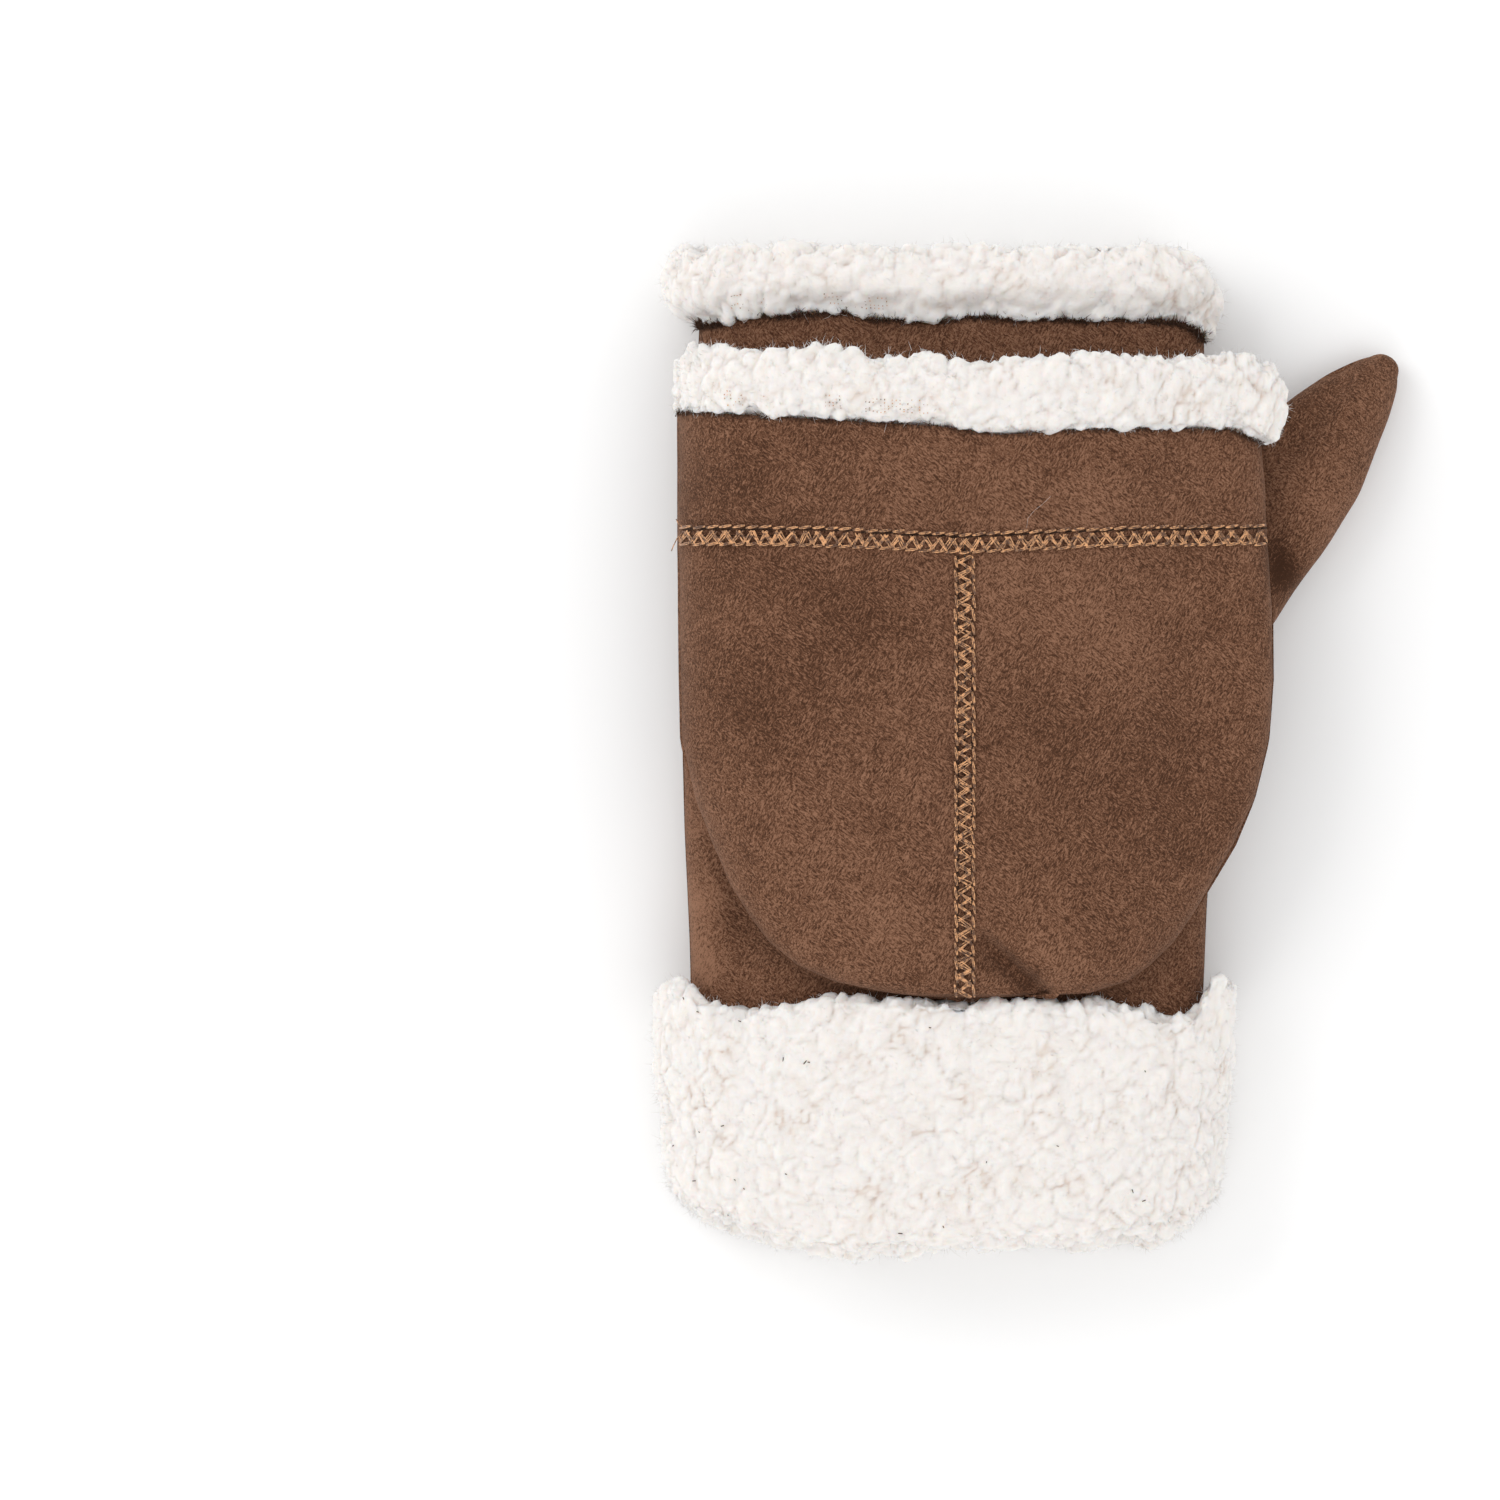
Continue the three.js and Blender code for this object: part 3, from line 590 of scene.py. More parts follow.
def grid_faces(rows, columns, ring_rows, ring_columns, start=0, flip=False):
    """Four-cornered faces between the points of a grid, which may close on itself either way."""
    i = np.arange(rows if ring_rows else rows - 1)
    j = np.arange(columns if ring_columns else columns - 1)
    i, j = np.meshgrid(i, j, indexing="ij")
    after_i, after_j = (i + 1) % rows, (j + 1) % columns
    corners = [i * columns + j, after_i * columns + j, after_i * columns + after_j, i * columns + after_j]
    faces = np.stack([c.ravel() + start for c in corners], axis=-1)
    return faces[:, ::-1] if flip else faces


print("a ring of 4 by 3 points has", len(grid_faces(4, 3, True, False)), "faces")

# %% New pieces
def encloses(points, faces):
    """Six times the volume inside the faces, which is below zero if they point inwards."""
    quads = [f for f in faces if len(f) == 4]
    corners = np.array([f[:3] for f in faces] + [(f[0], f[2], f[3]) for f in quads])
    a, b, c = points[corners[:, 0]], points[corners[:, 1]], points[corners[:, 2]]
    return np.einsum("ij,ij->", a - points.mean(axis=0), np.cross(b - a, c - a))


def new_piece(name, points, faces, materials, indices=None, smooth_angle=50):
    """An object from millimetre points and closed faces, turned outwards, smooth up to an angle."""
    points = np.array(points, float)
    points[:, 2] = np.maximum(points[:, 2], 0)
    faces = [tuple(map(int, face)) for face in faces]
    if encloses(points, faces) < 0:
        faces = [face[::-1] for face in faces]
    mesh = bpy.data.meshes.new(name)
    mesh.from_pydata(to_frame(points).tolist(), [], faces)
    for made in materials:
        mesh.materials.append(made)
    if indices is not None:
        mesh.polygons.foreach_set("material_index", np.asarray(indices, np.int32))
    mesh.polygons.foreach_set("use_smooth", np.ones(len(mesh.polygons), bool))
    mesh.set_sharp_from_angle(angle=math.radians(smooth_angle))
    mesh.update()
    piece = bpy.data.objects.new(name, mesh)
    bpy.context.scene.collection.objects.link(piece)
    return piece


def finish_piece(piece, slot, *nodes):
    """Says what a piece rides on and which solids it takes the place of; the slot, what it is made of, is not
    read.
    """
    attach(piece, "root")
    if nodes:
        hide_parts(*nodes)
    print(piece.name, "has", len(piece.data.polygons), "faces")
    return piece


# %% Closed walls
def wall_piece(name, outer, inner, materials, kept=None):
    """A closed wall between two grids; kept marks the cells that stay, so a hole can be left in it."""
    rows, columns = outer.shape[:2]
    count = rows * columns
    cell = np.ones((rows - 1, columns - 1), bool) if kept is None else kept
    chosen = cell.ravel()
    outside = grid_faces(rows, columns, False, False)[chosen]
    inside = grid_faces(rows, columns, False, False, count, True)[chosen]
    rims, rim_indices = [], []
    padded_cell = np.pad(cell, 1)
    for i, j in np.argwhere(padded_cell[1:-1, 1:-1]):
        a, b = i * columns + j, (i + 1) * columns + j
        c, d = (i + 1) * columns + j + 1, i * columns + j + 1
        for (di, dj), (p, q) in (((0, -1), (a, b)), ((1, 0), (b, c)), ((0, 1), (c, d)), ((-1, 0), (d, a))):
            if not padded_cell[i + 1 + di, j + 1 + dj]:
                rims.append((q, p, p + count, q + count))
                rim_indices.append(2 if dj else 0)
    faces = np.concatenate([outside, inside, np.array(rims)])
    indices = np.concatenate([np.repeat([0, 1], [len(outside), len(inside)]), rim_indices])
    points = np.concatenate([outer.reshape(-1, 3), inner.reshape(-1, 3)])
    return new_piece(name, points, faces, materials, indices)


print("walls are", SUEDE_WALL, "mm thick")

# %% [markdown]
# Suede is leather or cloth brushed to a short nap. Where the nap leans towards the eye it looks dark, and
# where it leans away it looks light, so a plain brown surface shows soft clouds and a fine streaky grain.
# Noise at three sizes makes the clouds, the patches and the streaks, and a little sheen stands for the
# fibres' tips. The streaks also go into the bump.

# %% Suede
SUEDE_DARK = (0.060, 0.0245, 0.012, 1)
SUEDE_MIDDLE = (0.149, 0.0665, 0.0362, 1)
SUEDE_LIGHT = (0.288, 0.146, 0.087, 1)
SUEDE_STOPS = [(0.08, SUEDE_DARK), (0.5, SUEDE_MIDDLE), (0.95, SUEDE_LIGHT)]
SUEDE_SHADER = {
    "Roughness": 0.92,
    "Specular IOR Level": 0.12,
    "Sheen Weight": 0.14,
    "Sheen Roughness": 0.5,
    "Sheen Tint": (0.85, 0.62, 0.48, 1),
}
SUEDE_BUMP = 0.7
NAP_HEIGHT = 0.0004
# scale of the noise, detail, distortion, and how much it counts
NAP_LAYERS = [
    (45, 3, 0.0, 0.30),
    (210, 3, 0.3, 0.36),
    (1500, 3, 2.2, 1.9),
]
# brushed strokes: the scale of their noise, how much longer than wide they are, the two ways they lean, and
# how much they count
STROKE_SCALE = 3100
STROKE_STRETCH = 2.8
STROKE_ANGLES = (math.radians(62), math.radians(-38))
STROKE_WEIGHT = 2.8
# patches that lean the same way: the scale of their noise, and where it turns from one lean to the other
LEAN_SCALE = 120
LEAN_STOPS = [(0.46, (0, 0, 0, 1)), (0.54, (1, 1, 1, 1))]


def strokes(finish, place, angle):
    """Noise drawn out along one direction, like brushed hairs."""
    inputs = {"Vector": place, "Rotation": (0, 0, angle), "Scale": (STROKE_STRETCH, 1, 1)}
    turned = finish.node("ShaderNodeMapping", inputs)
    turned.vector_type = "TEXTURE"
    return finish.noise(turned.outputs["Vector"], STROKE_SCALE, 2, 0.5)


def brushed(finish, place):
    """Strokes of nap that lean one way in some patches and another way in the rest."""
    share = finish.ramp(finish.noise(place, LEAN_SCALE, 2, 1.5), LEAN_STOPS)
    one, other = (strokes(finish, place, angle) for angle in STROKE_ANGLES)
    apart = finish.maths("SUBTRACT", other, one)
    return finish.maths("ADD", one, finish.maths("MULTIPLY", apart, share))


def suede_material(name, brightness=1.0):
    finish = Finish(name, SUEDE_SHADER)
    place = finish.place()
    # the value named nap brings in the nap's random tone and the painted shade and highlights of the marks
    level = finish.maths("ADD", finish.attribute("nap"), 0.5)
    for scale, detail, distortion, weight in NAP_LAYERS:
        layer = finish.noise(place, scale, detail, distortion)
        level = finish.spread(level, layer, weight)
    brushing = brushed(finish, place)
    level = finish.spread(level, brushing, STROKE_WEIGHT)
    stops = [(at, tuple(c * brightness for c in colour[:3]) + (1,)) for at, colour in SUEDE_STOPS]
    finish.colour(finish.ramp(level, stops))
    finest_layer = layer
    finish.bump(finish.maths("ADD", finest_layer, brushing), SUEDE_BUMP, NAP_HEIGHT)
    return finish.made


suede = suede_material("suede")
suede_edge = suede_material("suede_cut_edge", 0.5)
print("suede has", len(suede.node_tree.nodes), "nodes")

# %% [markdown]
# Pile is bundles of curled white fibres. Light goes into a bundle and comes out beside it, so the shader
# scatters under the surface. The creases between the bundles are coloured cream and a little pink as painted
# shade: the mesh carries a value named depth for that, from 0 in a crease to 1 on a curl.

# %% Pile
# the first colour is painted shade in the creases between the curls, cream and a little pink
PILE_CREASE_SHADE = (0.70, 0.595, 0.52, 1)
PILE_MIDDLE = (0.805, 0.76, 0.72, 1)
PILE_TOP = (0.835, 0.80, 0.77, 1)
PILE_STOPS = [(0.0, PILE_CREASE_SHADE), (0.3, PILE_MIDDLE), (0.7, PILE_TOP)]
PILE_SHADER = {
    "Roughness": 0.95,
    "Specular IOR Level": 0.1,
    "Subsurface Weight": 0.75,
    "Subsurface Radius": (1.0, 0.8, 0.65),
    "Subsurface Scale": 0.0032,
    "Sheen Weight": 0.15,
    "Sheen Roughness": 0.5,
}
TINT_SCALE = 60
TINT_WEIGHT = 0.35
PILE_GRAIN_SCALE = 1500
PILE_BUMP = 0.35
PILE_GRAIN_HEIGHT = 0.0004


def pile_material(name):
    finish = Finish(name, PILE_SHADER)
    place = finish.place()
    # the value named depth paints shade into the creases, and noise tints it at random
    level = finish.spread(finish.attribute("depth"), finish.noise(place, TINT_SCALE, 2), TINT_WEIGHT)
    finish.colour(finish.ramp(level, PILE_STOPS))
    finish.bump(finish.noise(place, PILE_GRAIN_SCALE, 4, 0.8), PILE_BUMP, PILE_GRAIN_HEIGHT)
    return finish.made


pile = pile_material("pile")
print("pile has", len(pile.node_tree.nodes), "nodes")

# %% [markdown]
# The hand is two suede panels, one over the back and one under the palm, that meet at the side seams.
# Where the thumb goes through them the cells of both grids are left out, inside the thumb's own surface,
# so that its outside covers the cut.

# %% Sizes and table of the thumb
THUMB_LENGTH = 88.0
THUMB_ROOT = -0.08
THUMB_WIDTH = 28.0
THUMB_ANGLE = math.radians(53.2)
THUMB_TIP = np.array([95.0, 185.1, 0.0])
# along, half width, bow, underside, height
THUMB_ROWS = np.array(
    [
        (0.0, 1.03, 0.175, 0.24, 0.7),
        (0.2, 1.03, 0.175, 0.22, 0.72),
        (0.34, 1.03, 0.175, 0.11, 0.85),
        (0.47, 1.015, 0.195, 0.03, 0.95),
        (0.58, 0.98, 0.2, 0.0, 1.0),
        (0.69, 0.93, 0.2, 0.0, 0.96),
        (0.78, 0.79, 0.205, 0.0, 0.87),
        (0.88, 0.59, 0.17, 0.0, 0.7),
        (0.95, 0.39, 0.14, 0.04, 0.48),
        (0.985, 0.22, 0.13, 0.12, 0.26),
        (1.0, 0.0, 0.12, 0.24, 0.0),
    ]
)
THUMB_AHEAD = np.array([math.cos(THUMB_ANGLE), math.sin(THUMB_ANGLE), 0.0])
THUMB_ASIDE = np.array([-math.sin(THUMB_ANGLE), math.cos(THUMB_ANGLE), 0.0])
print("the thumb points", round(math.degrees(THUMB_ANGLE), 1), "degrees up from straight across")

# %% The thumb's surface
def eased_columns(table, places):
    """The columns of a table at places, with the corners of its steps and the tip rounded off."""
    from_tip = np.sqrt(1 - table[:, 0])
    steps = np.linspace(-0.03, 0.03, 7)
    weights = 1 - np.abs(steps) / 0.04
    columns = []
    for i in range(1, table.shape[1]):
        spread = [np.interp(places + s, table[:, 0], table[:, i]) * w for s, w in zip(steps, weights)]
        near_tip = smooth(places, 0.9, 0.97)
        eased = sum(spread) / weights.sum()
        rounded = np.interp(np.sqrt(np.maximum(1 - places, 0)), from_tip[::-1], table[::-1, i])
        columns.append(mix(eased, rounded, near_tip))
    return columns


def thumb_point(turn, share, offset):
    half, bow, under, height = eased_columns(THUMB_ROWS, share)
    half, height = half * THUMB_WIDTH / 2, height * THUMB_HEIGHT / 2
    across, upward = np.cos(2 * np.pi * turn), np.sin(2 * np.pi * turn)
    sideways = across * np.maximum(half + np.where(half > 0, offset, 0), 0)
    lift = upward * np.maximum(height + np.where(height > 0, offset, 0), 0)
    ahead = (share - 1) * (THUMB_LENGTH + offset) + offset
    aside = bow * THUMB_WIDTH / 2 + sideways
    points = THUMB_TIP + ahead[..., None] * THUMB_AHEAD + aside[..., None] * THUMB_ASIDE
    points[..., 2] = under * THUMB_HEIGHT + height + lift
    return points


def inside_thumb(points, offset):
    """Whether each point lies within the thumb's surface, moved out by an offset."""
    relative = points - THUMB_TIP
    share = 1 + (relative @ THUMB_AHEAD) / THUMB_LENGTH
    half, bow, under, height = eased_columns(THUMB_ROWS, share)
    half, height = half * THUMB_WIDTH / 2 + offset, height * THUMB_HEIGHT / 2 + offset
    sideways = (relative @ THUMB_ASIDE - bow * THUMB_WIDTH / 2) / np.maximum(half, 0.1)
    upward = (points[..., 2] - under * THUMB_HEIGHT - height) / np.maximum(height, 0.1)
    return (sideways**2 + upward**2 < 1) & (share > THUMB_ROOT + 0.02) & (share < 1)


print("thumb tip:", thumb_point(np.array(0.0), np.array(1.0), 0.0).round(1))

# %% Nap marks and painted shade
# across, along, span in mm, and how many steps of the suede's colour it is lighter or darker there: nap
# patches, painted shade and painted highlights
NAP_AND_SHADE_MARKS = [
    (-44.0, 158.0, 14.0, -0.17),
    (-8.0, 158.0, 9.0, 0.08),
    (28.0, 158.0, 15.0, 0.07),
    # painted shade and highlights over the hood's slow swells down to its lower part, with a painted shadow
    # along its long fold
    (-18.0, 132.0, 14.0, -0.15),
    (-38.0, 116.0, 15.0, -0.15),
    (-10.0, 118.0, 9.0, 0.08),
    (20.0, 138.0, 14.0, 0.1),
    (36.0, 124.0, 13.0, 0.12),
    (24.0, 104.0, 16.0, -0.12),
    (14.0, 98.0, 7.0, 0.12),
    (52.0, 90.0, 14.0, -0.12),
    (-24.0, 84.0, 16.0, 0.06),
    (-12.0, 70.0, 10.0, 0.1),
    # painted shade in the dent beside the middle seam, and a painted highlight on the ridge beside it
    (12.5, 61.5, 3.8, -0.3),
    (17.4, 57.3, 3.0, -0.36),
    (22.0, 62.0, 6.0, 0.12),
    # painted shadow along the hood's long fold
    (46.0, 108.0, 10.0, -0.08),
    # painted highlights on the fold along the hand's left side, and a painted shadow beside the hood's edge
    (-50.0, 62.0, 7.0, 0.44),
    (-52.0, 74.0, 6.0, 0.42),
    (-55.0, 92.0, 8.0, 0.16),
    (-43.0, 66.0, 5.0, -0.15),
    # painted shade in the dent at the thumb's root and along the thumb's upper side, and a painted highlight
    # on its lower side
    (70.6, 141.0, 3.4, -0.75),
    (68.9, 146.0, 3.2, -0.4),
    (70.0, 172.0, 8.0, -0.16),
    (80.0, 177.0, 5.0, -0.1),
    (81.0, 158.0, 9.0, 0.16),
]
# the strip along the finger edge is a little lighter
EDGE_STRIP_LIGHTNESS = 0.05
EDGE_STRIP = (166.0, 176.0)


def nap_and_shade_of(points):
    """How light the suede is at each point of the upper side: the nap's random tone, the marks' painted shade
    and highlights, and the lighter strip.
    """
    value = 0.07 * field(points, 9.0, 3.1) + 0.05 * field(points, 3.6, 7.7)
    for across, along, span, lightness in NAP_AND_SHADE_MARKS:
        value = value + lightness * bell(np.hypot(points[..., 0] - across, points[..., 1] - along), span)
    on_hand = (points[..., 2] < PALM_HEIGHT + 2) & (np.abs(points[..., 0]) < HAND_WIDTH / 2 + 1)
    return value + EDGE_STRIP_LIGHTNESS * smooth(points[..., 1], *EDGE_STRIP) * on_hand


print("nap marks:", len(NAP_AND_SHADE_MARKS))

# %% Suede walls
def set_values(piece, name, values):
    """Values at the points of a piece's mesh, which its finish reads by name."""
    layer = piece.data.attributes.new(name, "FLOAT", "POINT")
    layer.data.foreach_set("value", np.asarray(values, np.float32).ravel())


def outward(outer, inner):
    """Normals of a wall's outer grid that point away from its inner grid."""
    normal = normals_of(outer, False)
    return normal * np.sign(np.sum(normal * (outer - inner)))


def suede_wall(name, surface, turns, places, slot_nodes, wave=0.35, hole=None):
    """A suede panel from a surface formula, with slow swells, the nap's tone and the marks' painted shade and
    highlights.
    """
    turn, place = np.meshgrid(turns, places, indexing="ij")
    outer, inner = surface(turn, place, 0.0), surface(turn, place, -SUEDE_WALL)
    swell = wave * (field(outer, 16.0, 1.3) + 0.3 * field(outer, 6.0, 5.9) - 1)
    outer = outer + outward(outer, inner) * swell[..., None]
    kept = None
    if hole is not None:
        middle = (outer[:-1, :-1] + outer[1:, 1:] + inner[:-1, :-1] + inner[1:, 1:]) / 4
        kept = ~hole(middle)
    piece = wall_piece(name, outer, inner, [suede, pile, suede_edge], kept)
    # the value named nap holds the nap's tone and the painted shade and highlights of the marks
    set_values(piece, "nap", np.concatenate([nap_and_shade_of(outer).ravel(), nap_and_shade_of(inner).ravel()]))
    set_values(piece, "depth", 0.5 + 0.5 * np.concatenate([field(outer, 2.4), field(inner, 2.4)]))
    return finish_piece(piece, "suede", *slot_nodes)


HAND_TURN_STEPS = 110
HAND_PLACES = np.linspace(WRIST_EDGE, FINGER_EDGE, 130)
RIM_TURN = 0.0006
THUMB_OVERLAP = 0.6
back_turns = np.linspace(RIM_TURN, 0.5 - RIM_TURN, HAND_TURN_STEPS)
palm_turns = np.linspace(0.5 + RIM_TURN, 1 - RIM_TURN, HAND_TURN_STEPS)


def thumb_hole(points):
    return inside_thumb(points, -THUMB_OVERLAP)


suede_wall("suede_back", hand_cloth, back_turns, HAND_PLACES, ["body_back"], hole=thumb_hole)
suede_wall("suede_palm", hand_cloth, palm_turns, HAND_PLACES, ["body_palm"], wave=0.15, hole=thumb_hole)

# %% [markdown]
# The thumb is a closed suede sleeve. It is a ring of points carried from its root to its tip, open at the
# root inside the hand.

# %% The thumb sleeve
# a dent where the thumb leaves the hand, and a shallow valley along its upper side, in mm
THUMB_DENT_AT = (69.5, 143.0)
THUMB_DENT_SPAN = 4.5
THUMB_DENT_STRETCH = 0.6
THUMB_DENT_DEPTH = 2.0
THUMB_VALLEY_ASIDE = 7.5
THUMB_VALLEY_SPAN = 3.2
THUMB_VALLEY_DEPTH = 1.5
THUMB_TURN_STEPS = 73
THUMB_PLACE_STEPS = 104


def thumb_sleeve():
    turns = np.linspace(0, 1, THUMB_TURN_STEPS)
    places = mix(1, THUMB_ROOT, np.linspace(1, 0, THUMB_PLACE_STEPS) ** 1.35)
    turn, place = np.meshgrid(turns, places, indexing="ij")
    outer, inner = thumb_point(turn, place, 0.0), thumb_point(turn, place, -SUEDE_WALL)
    outer[-1], inner[-1] = outer[0], inner[0]
    in_hand = hand_inside(outer)
    swell = 0.4 * field(outer, 14.0, 2.2) - 0.4
    dent_across = outer[..., 0] - THUMB_DENT_AT[0]
    dent_along = (outer[..., 1] - THUMB_DENT_AT[1]) * THUMB_DENT_STRETCH
    dent = THUMB_DENT_DEPTH * bell(np.hypot(dent_across, dent_along), THUMB_DENT_SPAN)
    aside = (outer - THUMB_TIP) @ THUMB_ASIDE
    valley_reach = smooth(place, 0.5, 0.7) * (1 - smooth(place, 0.88, 0.97))
    valley = THUMB_VALLEY_DEPTH * bell(aside - THUMB_VALLEY_ASIDE, THUMB_VALLEY_SPAN) * valley_reach
    is_top = np.sin(2 * np.pi * turn) > 0
    moved = (swell - np.where(is_top, dent + valley, 0)) * (1 - smooth(place, 0.97, 0.995))
    shift = outward(outer, inner) * moved[..., None]
    outer, inner = outer + shift, inner + shift
    kept = ~(in_hand[:-1, :-1] & in_hand[1:, 1:])
    piece = wall_piece("thumb_sleeve", outer, inner, [suede, pile, suede_edge], kept)
    # the value named nap holds the nap's tone and the painted shade and highlights of the marks
    set_values(piece, "nap", np.concatenate([nap_and_shade_of(outer).ravel(), nap_and_shade_of(inner).ravel()]))
    set_values(piece, "depth", np.full(outer.shape[:2] + (2,), 0.5))
    return finish_piece(piece, "suede", "thumb")


def hand_inside(points):
    """Whether each point is well inside the hand's lining."""
    half, seam, rise, drop = hand_section(points[..., 1])
    depth = SUEDE_WALL + 2
    across = np.abs(points[..., 0]) / (half - depth)
    height = points[..., 2] - seam
    reach = np.where(height > 0, rise - depth, drop - depth)
    limit = round_share(np.minimum(across, 1), BACK_ROUNDNESS) * reach
    return (across < 1) & (np.abs(height) < limit)


thumb_sleeve()

# %% [markdown]
# The hood is four panels: one underneath, and on top a band along the mouth and two shaped panels. On the
# real mitten their edges meet flat, with no fold, and a flat seam of several threads bridges them. So the
# panels are drawn with a groove along their meeting edges, where the threads sink in.

# %% The hood's panels
HOOD_TURN_STEPS = 150
BAND_STEPS = 26
PANEL_STEPS = 96
UNDER_STEPS = 60
HALF_GAP_TURN = 0.0002
PANEL_HALF_GAP = 0.05
# the groove along a seam: its depth and its span in mm
GROOVE_DEPTH = 0.9
GROOVE_SPAN = 3.2


def grooved(surface_side):
    """The formula of one side of the hood, with creases and seam grooves on its upper side."""

    def surface(turn, share, offset):
        points = hood_cloth(turn, share, offset, surface_side)
        if surface_side > 0:
            points = creased(points)
            x_from_seam = points[..., 0] - HOOD_SEAM_SHIFT
            y_from_seam = (share - SEAM_SHARE) * HOOD_LENGTH
            below = smooth(share, SEAM_SHARE - 0.01, SEAM_SHARE + 0.01)
            pinch = bell(y_from_seam, GROOVE_SPAN) + bell(x_from_seam, GROOVE_SPAN) * below
            points[..., 2] -= GROOVE_DEPTH * pinch * np.sin(np.clip(2 * np.pi * turn, 0, np.pi)) ** 0.3
        return points

    return surface


half_gap = PANEL_HALF_GAP / HOOD_LENGTH
fine_tip = 1 - np.linspace(1, 0, PANEL_STEPS) ** 1.25 * (1 - SEAM_SHARE - half_gap)
band_places = np.linspace(0, SEAM_SHARE - half_gap, BAND_STEPS)
upper_turns = np.linspace(RIM_TURN, 0.5 - RIM_TURN, HOOD_TURN_STEPS)
right_turns = np.linspace(RIM_TURN, 0.25 - HALF_GAP_TURN, HOOD_TURN_STEPS // 2)
left_turns = np.linspace(0.25 + HALF_GAP_TURN, 0.5 - RIM_TURN, HOOD_TURN_STEPS // 2)
under_places = np.linspace(0, 1, UNDER_STEPS)
suede_wall("hood_band_cloth", grooved(1), upper_turns, band_places, ["hood_band"], wave=0.45)
suede_wall("hood_right_cloth", grooved(1), right_turns, fine_tip, ["hood_panel_right"], wave=0.5)
suede_wall("hood_left_cloth", grooved(1), left_turns, fine_tip, ["hood_panel_left"], wave=0.5)
suede_wall("hood_under_cloth", grooved(-1), upper_turns[::2], under_places, ["hood_back"], wave=0.1)

# %% [markdown]
# Curly pile could be grown as a million hairs, but its look comes from the curls, not from single hairs.
# So the surface itself is raised into curls: cells of a bent Voronoi pattern give large bundles with creases
# between them, smaller cells give the curls on each bundle, and noise ruffles the rest. Some thousand short
# fibres are then set on it, for the soft outline that real pile has.

# %% Curls and their creases
CURL_SIZE = 5.5
SMALL_CURL_SIZE = 2.4
CURL_STRETCH = 1.25
# the share of the painted crease shade that is kept where the pile faces sideways
SIDE_CREASE_SHADE = 0.5
# the share of the curl height at which a curl's surface stays on the body's formula
CURL_MIDDLE = 0.55
# without a seed, the noise that bends the cells would differ from run to run
CURL_SEED = 3
noise.seed_set(CURL_SEED)


def curl_cells(points, size, seed):
    """For bent cells of about a size: how far each point is from a crease, and how near a middle, 0 to 1."""
    flat = points.reshape(-1, 3) / np.array([size, size * CURL_STRETCH, size])
    spread = np.empty((len(flat), 2))
    for i, (x, y, z) in enumerate(flat):
        place = Vector((x + seed, y, z))
        bend = noise.noise_vector(place * 1.5) * 0.5
        spread[i] = noise.voronoi(place + bend)[0][:2]
    near, next_near = spread[:, 0], spread[:, 1]
    shape = points.shape[:-1]
    return (1 - np.exp(-4.0 * (next_near - near))).reshape(shape), np.clip(1 - near**2, 0, 1).reshape(shape)


def curls(points):
    """Raised height in shares of the pile's curl height, and the painted crease shade at each point, from 0
    in a crease to 1 on a curl.
    """
    crease, dome = curl_cells(points, CURL_SIZE, 0.0)
    small_crease, small_dome = curl_cells(points, SMALL_CURL_SIZE, 11.0)
    ruffle = field(points, 1.5, 4.4) + 0.5 * field(points, 0.8, 8.8)
    swell = field(points, 10.0, 6.6)
    height = 0.3 * crease + 0.3 * dome + 0.16 * small_crease + 0.16 * small_dome
    height = height + 0.05 * ruffle + 0.25 * swell
    # noise leaves the painted crease shade out in some places
    shown = smooth(field(points, 7.0, 5.5), -0.5, 0.4)
    return height, 1 - shown * (1 - np.clip(0.75 * crease + 0.3 * small_crease, 0, 1))


print("curl sizes", CURL_SIZE, SMALL_CURL_SIZE, "mm")

# %% Pile bodies
def closed_curve(rows, steps_each):
    """A closed smooth curve through table rows, with a number of steps after each row."""
    rows = np.array(rows, float)
    samples = []
    for i, steps in enumerate(steps_each):
        p0, p1, p2, p3 = (rows[(i + k) % len(rows)] for k in (-1, 0, 1, 2))
        for t in np.arange(steps) / steps:
            a = 2 * p1 + (p2 - p0) * t
            b = (2 * p0 - 5 * p1 + 4 * p2 - p3) * t * t + (3 * p1 - p0 - 3 * p2 + p3) * t**3
            samples.append((a + b) / 2)
    return np.array(samples)


def pile_piece(name, grid, curl_height, weights, ring, slot_nodes, floor=0.0):
    """A pile body from a grid that is closed in its second direction, raised into curls by its weights."""
    padded_grid = np.concatenate([grid[:, -1:], grid, grid[:, :1]], axis=1)
    normal = normals_of(padded_grid, ring)[:, 1:-1]
    middle = grid.mean(axis=1, keepdims=True)
    if np.sum((grid - middle) * normal) < 0:
        normal = -normal
    height, depth = curls(grid)
    # the painted crease shade is weaker where the pile faces sideways
    depth = 1 - (1 - depth) * mix(SIDE_CREASE_SHADE, 1, smooth(np.abs(normal[..., 2]), 0.1, 0.6))
    raised = grid + normal * ((height - CURL_MIDDLE) * curl_height * weights)[..., None]
    raised[..., 2] = np.maximum(raised[..., 2], floor)
    rows, columns = grid.shape[:2]
    faces = grid_faces(rows, columns, ring, True)
    points = raised.reshape(-1, 3)
    if not ring:
        ends = [points[:columns].mean(axis=0), points[-columns:].mean(axis=0)]
        points = np.concatenate([points, ends])
        last = (rows - 1) * columns
        caps = [(rows * columns, (j + 1) % columns, j) for j in range(columns)]
        caps += [(rows * columns + 1, last + j, last + (j + 1) % columns) for j in range(columns)]
        faces = [tuple(f) for f in faces] + caps
    piece = new_piece(name, points, faces, [pile], smooth_angle=180)
    values = depth.ravel()
    if not ring:
        values = np.concatenate([values, [0.5, 0.5]])
    set_values(piece, "depth", values)
    finish_piece(piece, "sherpa", *slot_nodes)
    return raised, normal


